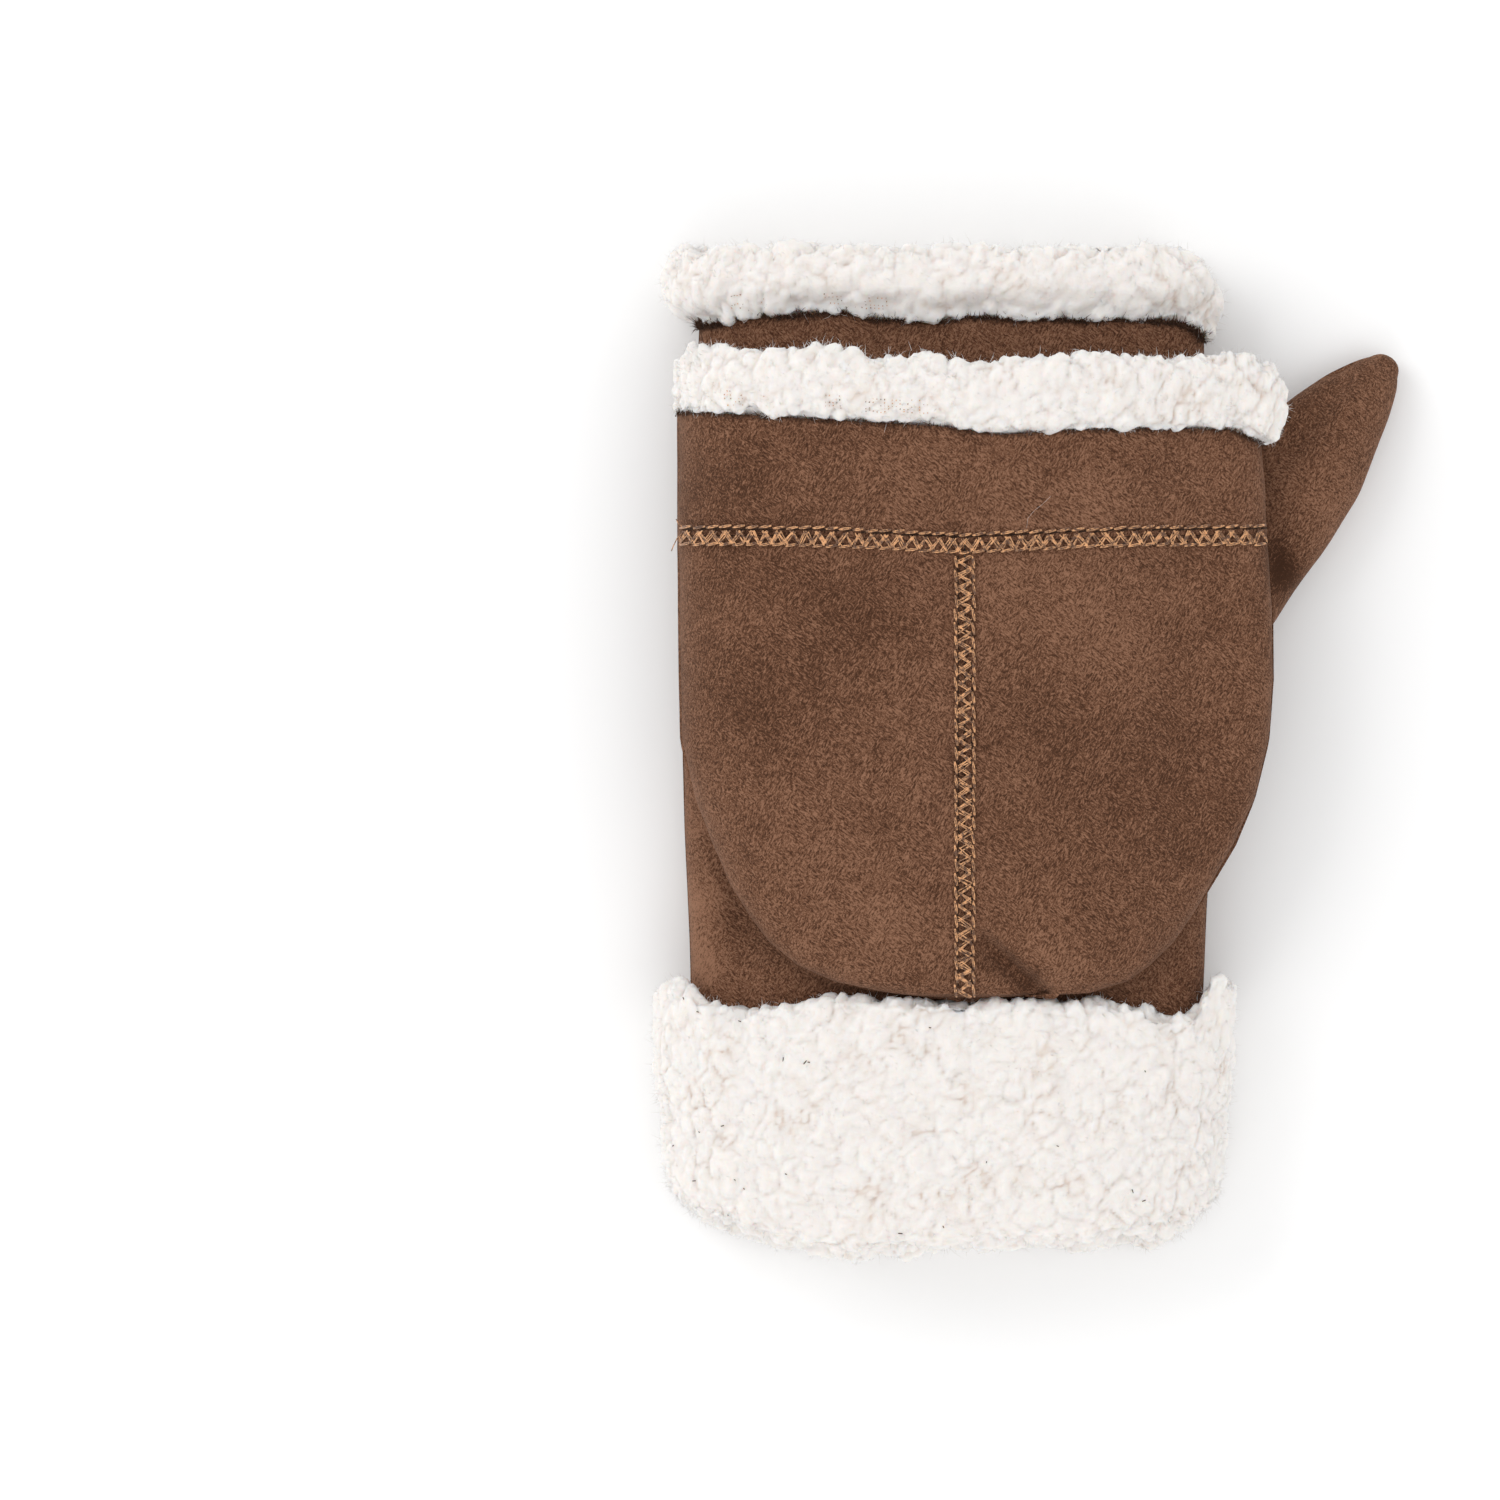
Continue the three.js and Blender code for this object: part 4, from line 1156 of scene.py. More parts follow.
print("a round curve through 3 rows has", len(closed_curve([(0, 0), (1, 0), (0, 1)], [4, 4, 4])), "points")

# %% [markdown]
# Fibres are thin spikes of two short steps that start on the surface, lean and bend. Each has three sides and
# a closed root. They are one mesh for each trim, made from arrays: thousands of objects would be slow.

# %% Fibres
FIBRE_WIDTH = 0.13
FIBRE_CURL = 0.7
FIBRE_LENGTHS = (0.5, 1.2)
SPIKE_POINTS = 7
SPIKE_FACES = [(0, 1, 4, 3), (1, 2, 5, 4), (2, 0, 3, 5), (3, 4, 6), (4, 5, 6), (5, 3, 6), (2, 1, 0)]


def fibre_piece(name, roots, directions, lengths, width, curl, material, slot, seed):
    """Bent spikes from roots in millimetres, joined in one mesh."""
    chance = np.random.default_rng(seed)
    count = len(roots)
    side = np.cross(directions, chance.normal(size=(count, 3)))
    side /= np.maximum(np.linalg.norm(side, axis=1, keepdims=True), 1e-6)
    other = np.cross(directions, side)
    bend = chance.normal(size=(count, 3)) * curl
    rings = []
    for step, share in ((0.0, 1.0), (0.55, 0.8)):
        centre = roots + directions * (lengths * step)[:, None] + bend * (lengths * step**2)[:, None]
        for angle in (0, 2 * math.pi / 3, 4 * math.pi / 3):
            reach = side * math.cos(angle) + other * math.sin(angle)
            rings.append(centre + reach * (width * share / 2))
    rings.append(roots + directions * lengths[:, None] + bend * lengths[:, None])
    points = np.stack(rings, axis=1)
    points[..., 2] = np.maximum(points[..., 2], 0.02)
    faces = [
        tuple(SPIKE_POINTS * i + corner for corner in face)
        for i in range(count)
        for face in SPIKE_FACES
    ]
    piece = new_piece(name, points.reshape(-1, 3), faces, [material], smooth_angle=180)
    set_values(piece, "depth", np.full(count * SPIKE_POINTS, 0.95))
    return finish_piece(piece, slot)


def scattered(grid, normal, weights, count, seed):
    """Random roots on a grid, more of them where the weights are high, with the surface's normals."""
    chance = np.random.default_rng(seed)
    share = weights.ravel() / weights.sum()
    picked = chance.choice(len(share), size=count, p=share)
    jitter = chance.normal(size=(count, 3)) * 0.35
    roots = grid.reshape(-1, 3)[picked] + jitter - normal.reshape(-1, 3)[picked] * 0.5
    lean = normal.reshape(-1, 3)[picked] + chance.normal(size=(count, 3)) * 0.55
    return roots, lean / np.linalg.norm(lean, axis=1, keepdims=True)


def fibres_on(name, raised, normal, weights, count, seed):
    """Short white fibres on a pile body, more of them where the weights are high."""
    roots, leans = scattered(raised, normal, weights + 1e-9, count, seed)
    lengths = np.random.default_rng(seed + 1).uniform(*FIBRE_LENGTHS, count)
    return fibre_piece(name, roots, leans, lengths, FIBRE_WIDTH, FIBRE_CURL, pile, "sherpa", seed + 2)


print("fibres are", FIBRE_LENGTHS[0], "to", FIBRE_LENGTHS[1], "mm long")

# %% [markdown]
# The cuff is the lining, folded out over the wrist. Its section is a long U: outside from the top edge down
# to the fold, round it, and up again inside the wrist, with a narrow slot for the suede between.
# A short table moves its top edge, which on the real one is ragged and reaches up in tufts at both sides.

# %% The cuff's section
# across in mm, how far the cuff's top edge is lifted there in mm
CUFF_EDGE = np.array(
    [(-62, 1.6), (-55, 3.2), (-51.5, 2.0), (-49, -0.4), (-44, -1.4), (-34, -2.0), (-31, -1.4), (-28, 0.2),
     (-23, 1.2), (-14, 0.6), (-6, 0.0), (20, -0.2), (31, 0.2), (38, -0.8), (46, -2.7), (50, -2.4), (53, -1.0),
     (56, 4.6), (62, 5.0)], float
)


def cuff_rows():
    """Rows of (place along the hand, offset from the suede's surface, curl weight)."""
    inner = SUEDE_WALL + PIECE_GAP
    outside = [
        (y, mix(0.8, 1, smooth(y, 0, 2.5 * CUFF_FOLD)) * CUFF_PILE, 0.62)
        for y in np.linspace(CUFF_LENGTH - 5, CUFF_FOLD - 1, 5)
    ]
    rows = [
        (WRIST_EDGE - PIECE_GAP, PIECE_GAP, 0.0),
        (CUFF_LENGTH - 4.5, PIECE_GAP, 0.0),
        (CUFF_LENGTH - 0.4, 0.25 * CUFF_PILE, 0.8),
        (CUFF_LENGTH + 0.2, 0.6 * CUFF_PILE, 1.0),
        (CUFF_LENGTH - 1.2, 0.95 * CUFF_PILE, 1.0),
        *outside,
        (0.35 * CUFF_FOLD, 0.66 * CUFF_PILE, 0.85),
        (0.15, 0.1 * CUFF_PILE, 1.0),
        (0.1 * CUFF_FOLD, -inner, 0.9),
        (0.6 * CUFF_FOLD, -inner - 0.8 * LINING_PILE, 0.7),
        (1.6 * CUFF_FOLD, -inner - LINING_PILE, 0.6),
        (CUFF_INSIDE - 2, -inner - LINING_PILE, 0.6),
        (CUFF_INSIDE, -inner - 0.5 * LINING_PILE, 0.3),
        (CUFF_INSIDE - 1, -inner, 0.0),
        (WRIST_EDGE - PIECE_GAP, -inner, 0.0),
    ]
    return closed_curve(rows, [3, 4, 4, 4, 6, *([17] * 5), 6, 5, 5, 4, 8, 2, 2, 3, 1])


def rim_lumps(grid, share):
    """Uneven lengths of pile along a rim."""
    return (1.2 * field(grid, 4.0, 9.9) + 0.8 * field(grid, 8.0, 2.9)) * share


def ring_grid(curve, steps):
    """A section carried round the hand."""
    turns = np.arange(steps) / steps
    turn, along = np.meshgrid(turns, curve[:, 0], indexing="ij")
    offset = np.broadcast_to(curve[:, 1], turn.shape)
    return turn, hand_cloth(turn, along, offset)


def curl_weights(curve, shape):
    """How high the curls may stand at each point of a section, for a whole grid."""
    return np.broadcast_to(np.clip(curve[:, 2], 0, 1), shape)


cuff_curve = cuff_rows()
print("the cuff's section has", len(cuff_curve), "points")

# %% The cuff
CUFF_STEPS = 420
CUFF_CURLS = 3.4
# fibres are few where the cuff's pile is hidden: on the suede, and this deep inside the wrist
HIDDEN_FIBRES = 0.12
SHOWN_DEPTH = 8.0
cuff_turn, cuff_grid = ring_grid(cuff_curve, CUFF_STEPS)
top_part = smooth(cuff_curve[:, 0], CUFF_LENGTH - 14, CUFF_LENGTH - 1) * (cuff_curve[:, 1] > 0)
on_back = smooth(np.sin(2 * np.pi * cuff_turn), -0.3, 0.1)
ragged = 1.1 * field(cuff_grid, 2.6, 9.9) + 0.9 * field(cuff_grid, 6.0, 2.9)
cuff_grid[..., 1] += (along_line(CUFF_EDGE, cuff_grid[..., 0]) + ragged) * top_part * on_back
cuff_grid[..., 1] += rim_lumps(cuff_grid, 0.8 * (1 - smooth(cuff_curve[:, 0], 1.0, 2 * CUFF_FOLD)))
cuff_weight = curl_weights(cuff_curve, cuff_turn.shape)
cuff_raised, cuff_normal = pile_piece("cuff_pile", cuff_grid, CUFF_CURLS, cuff_weight, True, ["cuff"])
is_shown = (cuff_curve[:, 1] > 0.5) | (cuff_curve[:, 0] < SHOWN_DEPTH)
cuff_open = np.where(is_shown, cuff_weight, HIDDEN_FIBRES * cuff_weight)
fibres_on("cuff_fibres", cuff_raised, cuff_normal, cuff_open, 17000, 5)

# %% [markdown]
# The rolls of pile at the two openings share one section: a tail that lines the inside of the suede, and a
# fat roll past its cut edge. One is carried round the hand, the other along the hood's mouth.

# %% The section of a pile roll
HOOD_TRIM_REACH = 14.6
HOOD_TRIM_PROUD = 2.4
HOOD_TRIM_DEPTH = 4.4
HOOD_TRIM_TAIL = 12.0
ROLL_CURLS = 4.0
# where a roll's low side fades out, in mm past the cut edge
LOW_SIDE = (0.3, 5.0)
# across (share of half the hood), how far the roll's rim is lifted there in mm
TRIM_TOP = np.array(
    [(-1.0, -0.8), (-0.75, -1.3), (-0.5, 0.4), (-0.3, -1.3), (0.0, -0.8), (0.15, 0.8), (0.5, 0.8), (0.7, 0.2),
     (0.83, 0.8), (0.93, 2.2), (1.0, 4.0)], float
)


def roll_rows(reach, proud, depth, tail, clearance, shoulder):
    """Rows of (distance past the cut edge, offset from the suede's surface, curl weight)."""
    inner = SUEDE_WALL + clearance
    rows = [
        (-tail, -inner, 0.0),
        (PIECE_GAP - 1, -inner, 0.0),
        (PIECE_GAP, -0.5 * inner, 0.2),
        (PIECE_GAP, 0.45 * shoulder * proud, 0.75),
        (0.14 * reach, shoulder * proud, 0.8),
        (0.45 * reach, 1.1 * proud, 0.6),
        (0.78 * reach, 0.8 * proud, 0.8),
        (reach, -0.1 * depth, 1.0),
        (0.93 * reach, -0.7 * depth, 1.0),
        (0.55 * reach, -depth, 0.9),
        (0, -inner - LINING_PILE, 0.6),
        (-0.6 * tail, -inner - LINING_PILE, 0.6),
        (-0.95 * tail, -inner - 0.6 * LINING_PILE, 0.3),
    ]
    return closed_curve(rows, [3, 1, 3, 4, 6, 6, 5, 5, 5, 5, 5, 3, 2])


def cut_edge_waves(grid):
    """How the pile's low side wanders along the suede's cut edge, in mm."""
    return 1.2 * field(grid, 9.0, 3.3) + 0.7 * field(grid, 2.5, 5.1) - 0.1


def on_low_side(past, offset):
    """How far a place on a roll belongs to its low side, which wanders; past is in mm from the cut edge."""
    return (1 - smooth(past, *LOW_SIDE)) * (offset > 0)


finger_curve = roll_rows(TRIM_REACH, TRIM_PROUD, TRIM_DEPTH, TRIM_TAIL, PIECE_GAP, 0.45)
print("a roll's section has", len(finger_curve), "points")

# %% The roll round the fingers
FINGER_ROLL_STEPS = 400
finger_turn, finger_grid = ring_grid(finger_curve + np.array([FINGER_EDGE, 0, 0]), FINGER_ROLL_STEPS)
finger_grid[..., 1] += rim_lumps(finger_grid, smooth(finger_curve[:, 0], 0.2 * TRIM_REACH, TRIM_REACH))
finger_grid[..., 1] += cut_edge_waves(finger_grid) * on_low_side(finger_curve[:, 0], finger_curve[:, 1])
finger_weight = curl_weights(finger_curve, finger_turn.shape)
finger_raised, finger_normal = pile_piece(
    "finger_pile", finger_grid, ROLL_CURLS, finger_weight, True, ["finger_trim"]
)
fibres_on("finger_fibres", finger_raised, finger_normal, finger_weight, 10000, 15)

# %% The roll along the hood's mouth
HOOD_ROLL_STEPS = 240
ROLL_END_TURN = 0.03
# the roll's left end lies this far in, and its right end this far out and this far towards the wrist, in mm
LEFT_END_IN = 1.6
RIGHT_END_OUT = 3.2
RIGHT_END_DOWN = 2.6
hood_curve = roll_rows(HOOD_TRIM_REACH, HOOD_TRIM_PROUD, HOOD_TRIM_DEPTH, HOOD_TRIM_TAIL, DRAPE_GAP, 1.0)
hood_turns = np.linspace(0, 0.5, HOOD_ROLL_STEPS)
turn, past = np.meshgrid(hood_turns, hood_curve[:, 0], indexing="ij")
offset = np.broadcast_to(hood_curve[:, 1], turn.shape)
from_end = np.minimum(turn, 0.5 - turn) / ROLL_END_TURN
kept_share = np.clip(from_end * (2 - from_end), 0.04, 1) * (from_end < 1) + (from_end >= 1)
centre_past, centre_offset = 0.4 * HOOD_TRIM_REACH, -SUEDE_WALL
past = mix(centre_past, past, kept_share)
offset = mix(centre_offset, offset, kept_share)
hood_grid = hood_cloth(turn, -past / HOOD_LENGTH, offset)
is_roll = smooth(past, -0.5, 2.5)
at_left = smooth(turn, 0.4, 0.5) * is_roll
at_right = (1 - smooth(turn, 0.0, 0.09)) * is_roll
hood_grid[..., 0] += LEFT_END_IN * at_left + RIGHT_END_OUT * at_right * smooth(past, 0, 8)
at_rim = smooth(past, 0.1 * HOOD_TRIM_REACH, 0.95 * HOOD_TRIM_REACH)
hood_grid[..., 1] += along_line(TRIM_TOP, np.cos(2 * np.pi * turn)) * at_rim - RIGHT_END_DOWN * at_right
hood_grid[..., 1] += rim_lumps(hood_grid, at_rim)
hood_grid[..., 1] += 0.8 * cut_edge_waves(hood_grid) * on_low_side(past, offset)
hood_weight = np.clip(hood_curve[:, 2], 0, 1) * kept_share
hood_raised, hood_normal = pile_piece("hood_pile", hood_grid, ROLL_CURLS, hood_weight, False, ["hood_trim"])
fibres_on("hood_fibres", hood_raised, hood_normal, hood_weight, 8000, 25)

# %% [markdown]
# The patch on the palm is smooth leather, cut with a raw edge and sewn on near it. Its outline is a leg down
# the little-finger side and a lobe towards the thumb, both with round ends.

# %% The patch's outline
PATCH_LENGTH = 87.6
PATCH_LEG_WIDTH = 36.5
PATCH_LOBE_LENGTH = 26.6
PATCH_LOBE_WIDTH = 63.0
PATCH_FROM_EDGE = 7.4
PATCH_FROM_SIDE = 8.4
PATCH_PITCH = 0.9


def arc(centre, radius, start, end, steps=14):
    """Points along part of a circle, from one angle to another."""
    angles = np.linspace(start, end, steps)
    return [(centre[0] + radius * math.cos(a), centre[1] + radius * math.sin(a)) for a in angles]


def patch_outline():
    """A leg with round corners, and a lobe towards the thumb."""
    top, left = FINGER_EDGE - PATCH_FROM_EDGE, -HAND_WIDTH / 2 + PATCH_FROM_SIDE
    leg_right, lobe_right = left + PATCH_LEG_WIDTH, left + PATCH_LOBE_WIDTH
    bottom, lobe_bottom = top - PATCH_LENGTH, top - PATCH_LOBE_LENGTH
    corner, lobe, crook = 0.42 * PATCH_LEG_WIDTH, PATCH_LOBE_LENGTH / 2, 0.3 * PATCH_LOBE_LENGTH
    pi = math.pi
    points = arc((left + corner, top - corner), corner, pi / 2, pi)
    points += arc((left + corner, bottom + corner), corner, pi, 1.5 * pi)
    points += arc((leg_right - corner, bottom + corner), corner, 1.5 * pi, 2 * pi)
    points += arc((leg_right + crook, lobe_bottom - crook), crook, pi, pi / 2)
    points += arc((lobe_right - lobe, top - lobe), lobe, -pi / 2, pi / 2, 22)
    return np.array(points)


def resampled(points, pitch):
    """Points of a closed outline, evenly spaced by about a pitch."""
    closed = np.vstack([points, points[:1]])
    lengths = np.r_[0, np.cumsum(np.linalg.norm(np.diff(closed, axis=0), axis=1))]
    count = int(round(lengths[-1] / pitch))
    places = np.arange(count) / count * lengths[-1]
    return np.stack([np.interp(places, lengths, closed[:, k]) for k in (0, 1)], axis=-1)


def inset(points, distance):
    """A closed outline moved inwards by a distance."""
    ahead = np.roll(points, -1, axis=0) - np.roll(points, 1, axis=0)
    ahead /= np.linalg.norm(ahead, axis=1, keepdims=True)
    return points + np.stack([-ahead[:, 1], ahead[:, 0]], axis=-1) * distance


print("the patch's outline has", len(resampled(patch_outline(), PATCH_PITCH)), "points")

# %% The patch's finishes
LEATHER_STOPS = [(0.3, (0.185, 0.098, 0.066, 1)), (0.7, (0.275, 0.16, 0.115, 1))]
RAW_EDGE_STOPS = [(0.3, (0.30, 0.19, 0.13, 1)), (0.7, (0.45, 0.31, 0.23, 1))]
LEATHER_GRAIN_SCALE = 1300
LEATHER_BUMP = 0.35
LEATHER_GRAIN_HEIGHT = 0.0003


def leather_material():
    finish = Finish("patch_leather", {"Roughness": 0.5})
    place = finish.place()
    finish.colour(finish.ramp(finish.noise(place, 60, 3), LEATHER_STOPS))
    grain = finish.node("ShaderNodeTexVoronoi", {"Vector": place, "Scale": LEATHER_GRAIN_SCALE})
    finish.bump(grain.outputs["Distance"], LEATHER_BUMP, LEATHER_GRAIN_HEIGHT)
    return finish.made


def raw_edge_material():
    finish = Finish("patch_raw_edge", {"Roughness": 0.85})
    finish.colour(finish.ramp(finish.noise(finish.place(), 2500, 2), RAW_EDGE_STOPS))
    return finish.made


patch_materials = [leather_material(), raw_edge_material()]
print("patch finishes:", [made.name for made in patch_materials])

# %% The palm patch
# how far in from the outline each ring of points lies, and how far up or down from the patch's face
UNDER_RINGS = [(0.0, 0.5), (0.0, 0.2), (0.35, 0.0), (1.4, 0.0), (2.75, 0.12), (4.2, 0.0), (9.0, 0.0)]
OVER_RINGS = [(0.0, 0.3), (0.3, 0.0), (9.0, 0.0)]


def make_patch():
    outline = resampled(patch_outline(), PATCH_PITCH)
    level = np.ones(len(outline))
    under = [np.c_[inset(outline, distance), z * level] for distance, z in UNDER_RINGS]
    over = [np.c_[inset(outline, distance), (PATCH_THICKNESS - z) * level] for distance, z in OVER_RINGS]
    grid = np.stack(under[::-1] + over)
    rows, columns = grid.shape[:2]
    faces = [tuple(f) for f in grid_faces(rows, columns, False, True)]
    first = tuple(range(columns))
    last = tuple((rows - 1) * columns + j for j in range(columns))
    faces += [first[::-1], last]
    edge_rows = range(len(UNDER_RINGS) - 2, len(UNDER_RINGS) + 1)
    indices = [1 if f[0] // columns in edge_rows else 0 for f in faces]
    piece = new_piece("palm_leather", grid.reshape(-1, 3), faces, patch_materials, indices, 60)
    return finish_piece(piece, "patch_leather", "palm_patch")


make_patch()

# %% [markdown]
# A stitch is a short length of thread between two holes. Thread is drawn as a thin tube along points, and
# the many tubes of a seam are joined in one mesh. A flat seam has a line of loops down each side and threads
# that cross between them, and dark dots of painted shade stand for the needle holes beside the loops.

# %% Thread
THREAD_TONE_AND_GLINT_SCALE = 1100


def thread_material(name, dark, light):
    finish = Finish(name, {"Roughness": 0.55, "Sheen Weight": 0.3})
    # random noise darkens and lightens the thread: partly its own tone, partly painted shade between the
    # strands and painted glints on them
    tone_and_glints = finish.noise(finish.place(), THREAD_TONE_AND_GLINT_SCALE, 3, 0.5)
    finish.colour(finish.ramp(tone_and_glints, [(0.40, dark), (0.60, light)]))
    return finish.made


golden_thread = thread_material("golden_thread", (0.13, 0.055, 0.024, 1), (0.76, 0.39, 0.175, 1))
brown_thread = thread_material("brown_thread", (0.035, 0.014, 0.009, 1), (0.09, 0.04, 0.025, 1))
print("threads:", golden_thread.name, brown_thread.name)

# %% Tubes of thread
def tube_parts(path, radius, sides=5):
    """Points and faces of a closed tube along a path in millimetres."""
    path = np.asarray(path, float)
    ahead = np.gradient(path, axis=0)
    ahead /= np.maximum(np.linalg.norm(ahead, axis=1, keepdims=True), 1e-9)
    side = np.cross(ahead, [0.0, 0.0, 1.0])
    length = np.linalg.norm(side, axis=1, keepdims=True)
    side = np.where(length > 1e-3, side / np.maximum(length, 1e-9), [1.0, 0.0, 0.0])
    up = np.cross(side, ahead)
    angles = np.arange(sides) / sides * 2 * np.pi
    ring = np.cos(angles)[None, :, None] * side[:, None] + np.sin(angles)[None, :, None] * up[:, None]
    points = (path[:, None] + ring * radius).reshape(-1, 3)
    faces = [tuple(f) for f in grid_faces(len(path), sides, False, True)]
    faces.append(tuple(range(sides))[::-1])
    faces.append(tuple((len(path) - 1) * sides + k for k in range(sides)))
    return points, faces


def tubes_piece(name, paths, radius, material, slot="thread"):
    """Thin closed tubes along many paths, joined in one mesh."""
    all_points, all_faces, start = [], [], 0
    for path in paths:
        points, faces = tube_parts(path, radius)
        all_points.append(points)
        all_faces += [tuple(v + start for v in f) for f in faces]
        start += len(points)
    piece = new_piece(name, np.concatenate(all_points), all_faces, [material], smooth_angle=80)
    return finish_piece(piece, slot)


def on_hood(turn, share, lift):
    """Points just over the hood's cloth, seam groove included."""
    return grooved(1)(np.asarray(turn, float), np.asarray(share, float), 0.0) + np.array([0, 0, lift])


print("top of the hood over its middle seam:", on_hood([0.25], [0.5], 0.0).round(1))

# %% Places along a seam
SEAM_START = 2.6
SEAM_END = 0.992


def turn_at(across, share):
    """The turn at which the hood lies at a distance across from its middle seam."""
    left, right = (np.interp(share, HOOD_ROWS[:, 0], HOOD_ROWS[:, i]) for i in (1, 2))
    reach = np.where(across > 0, right, left) * HOOD_WIDTH / 2
    return np.arccos(np.clip(across / reach, -1, 1)) / (2 * np.pi)


def seam_points(kind, along, sideways, lift):
    """Points over a seam; along runs from 0 to 1, and sideways is in millimetres."""
    if kind == "cross":
        share = SEAM_SHARE + sideways / HOOD_LENGTH
        left, right = (np.interp(SEAM_SHARE, HOOD_ROWS[:, 0], HOOD_ROWS[:, i]) for i in (1, 2))
        reach = np.interp(along, [0, 0.5, 1], [SEAM_END * right, 0, -SEAM_END * left]) * HOOD_WIDTH / 2
        points = on_hood(turn_at(reach, SEAM_SHARE), share, 0.0)
    else:
        start = SEAM_SHARE + SEAM_START / HOOD_LENGTH
        share = start + along * (SEAM_END - start)
        points = on_hood(turn_at(sideways, share), share, 0.0)
    points[..., 2] += lift
    return points


middle_seam_length = (SEAM_END - SEAM_SHARE) * HOOD_LENGTH - SEAM_START
print("the middle seam is", round(middle_seam_length, 1), "mm long")

# %% The threads of a flat seam
STITCH_PITCH = 2.85
SEAM_HALF = 1.8
THREAD_RADIUS = 0.125
HOLE_SHADE_RADIUS = 0.19
# the crossing threads reach this far to each side of their middle, which lies off the cross seam's own middle
CROSSING_HALF = 1.35
CROSS_SEAM_MIDDLE = 0.35


def chain_paths(kind, side, pitches, chance):
    """The links along one side of a seam: two strands each, that part in the middle and meet in a hole."""
    paths = []
    for loop in range(pitches):
        reach = np.linspace(0.05, 0.95, 7)
        swell = np.sin(np.pi * reach)
        slant = 0.5 * (reach - 0.5) + chance.normal() * 0.08
        for strand in (-1, 1):
            bow = slant + strand * (0.02 + 0.15 * swell)
            lift = 0.5 * swell**0.7 - 0.1 + 0.05 * strand
            along = np.clip((loop + reach) / pitches, 0, 1)
            paths.append(seam_points(kind, along, side * SEAM_HALF + bow, lift))
    return paths


def zigzag_paths(kind, middle, half, pitches, chance):
    """Threads that cross a seam from hole to hole and back, three or four abreast, none quite alike."""
    paths = []
    for loop in range(pitches):
        for slant in (-1, 1):
            for strand in range(3 + int(chance.random() < 0.5)):
                reach = np.linspace(-1, 1, 6)
                centre = loop + 0.5 + 0.25 * slant + 0.1 * (strand - 1.5) + chance.normal() * 0.04
                along = np.clip((centre + slant * reach * chance.uniform(0.2, 0.42)) / pitches, 0, 1)
                sideways = middle + reach * half * chance.uniform(0.85, 1.1)
                lift = 0.12 + (0.14 + 0.22 * chance.random()) * (1 - reach**2)
                paths.append(seam_points(kind, along, sideways, lift))
    return paths


def flat_seam(name, kind, length, seed):
    """A chain of loops down each side of a seam, and threads that cross between them."""
    chance = np.random.default_rng(seed)
    pitches = int(round(length / STITCH_PITCH))
    middle = CROSS_SEAM_MIDDLE if kind == "cross" else 0.0
    paths = chain_paths(kind, -1, pitches, chance) + chain_paths(kind, 1, pitches, chance)
    paths += zigzag_paths(kind, middle, CROSSING_HALF, pitches, chance)
    return tubes_piece(name, paths, THREAD_RADIUS, golden_thread)


flat_seam("cross_seam_thread", "cross", HOOD_WIDTH, 41)
flat_seam("middle_seam_thread", "middle", middle_seam_length, 42)

# %% Needle holes and a seam line, in painted shade
# a very dark copy of the suede: painted shade in the needle holes and along the cross seam, and the colour of
# the dark specks caught in the pile
dark_suede_for_specks_and_shade = suede_material("dark_suede_speck_and_hole_shade", 0.16)


def needle_hole_shades(name, kind, length, seed):
    """Dark slots of painted shade where the needle went in, just inside the seam's loops; on one side of the
    cross seam they are long and join into a painted shadow line where the cloth overlaps.
    """
    chance = np.random.default_rng(seed)
    pitches = int(round(length / STITCH_PITCH))
    paths = []
    for side in (-1, 1):
        # long slots on one side of the cross seam make a painted shadow line
        is_long = kind == "cross" and side < 0
        for loop in range(pitches):
            centre = loop + chance.normal() * 0.06
            half = chance.uniform(0.34, 0.5) if is_long else chance.uniform(0.12, 0.3)
            reach = np.linspace(-1, 1, 5)
            along = np.clip((centre + half * reach) / pitches, 0, 1)
            sideways = side * (SEAM_HALF - 0.4) + 0.16 * reach + chance.normal() * 0.06
            paths.append(seam_points(kind, along, sideways, 0.08))
    return tubes_piece(name, paths, HOLE_SHADE_RADIUS, dark_suede_for_specks_and_shade)


needle_hole_shades("cross_seam_holes", "cross", HOOD_WIDTH, 43)
needle_hole_shades("middle_seam_holes", "middle", middle_seam_length, 44)

# %% Patch stitches
PATCH_STITCH_PITCH = 1.9
PATCH_STITCH_INSET = 2.75
PATCH_THREAD_RADIUS = 0.2
# where a stitch comes out and goes in, as shares of its pitch
STITCH_OUT = 0.14
STITCH_IN = 0.86


def patch_stitches():
    outline = resampled(patch_outline(), PATCH_PITCH)
    holes = resampled(inset(outline, PATCH_STITCH_INSET), PATCH_STITCH_PITCH)
    shares = np.linspace(STITCH_OUT, STITCH_IN, 5)
    height = 0.3 - 0.26 * np.sin(np.pi * (shares - STITCH_OUT) / (STITCH_IN - STITCH_OUT))
    paths = [
        np.c_[hole + (after - hole) * shares[:, None], height]
        for hole, after in zip(holes, np.roll(holes, -1, axis=0))
    ]
    return tubes_piece("patch_stitches", paths, PATCH_THREAD_RADIUS, brown_thread)


patch_stitches()

# %% [markdown]
# Suede that is cut and not hemmed frays a little. Short dark fibres stand along the finger edge and the
# hood's mouth, where the brown meets the white, and longer ones at both ends of the finger edge.

# %% Frayed edges
FRAY_WIDTH = 0.2
FRAY_CURL = 0.5


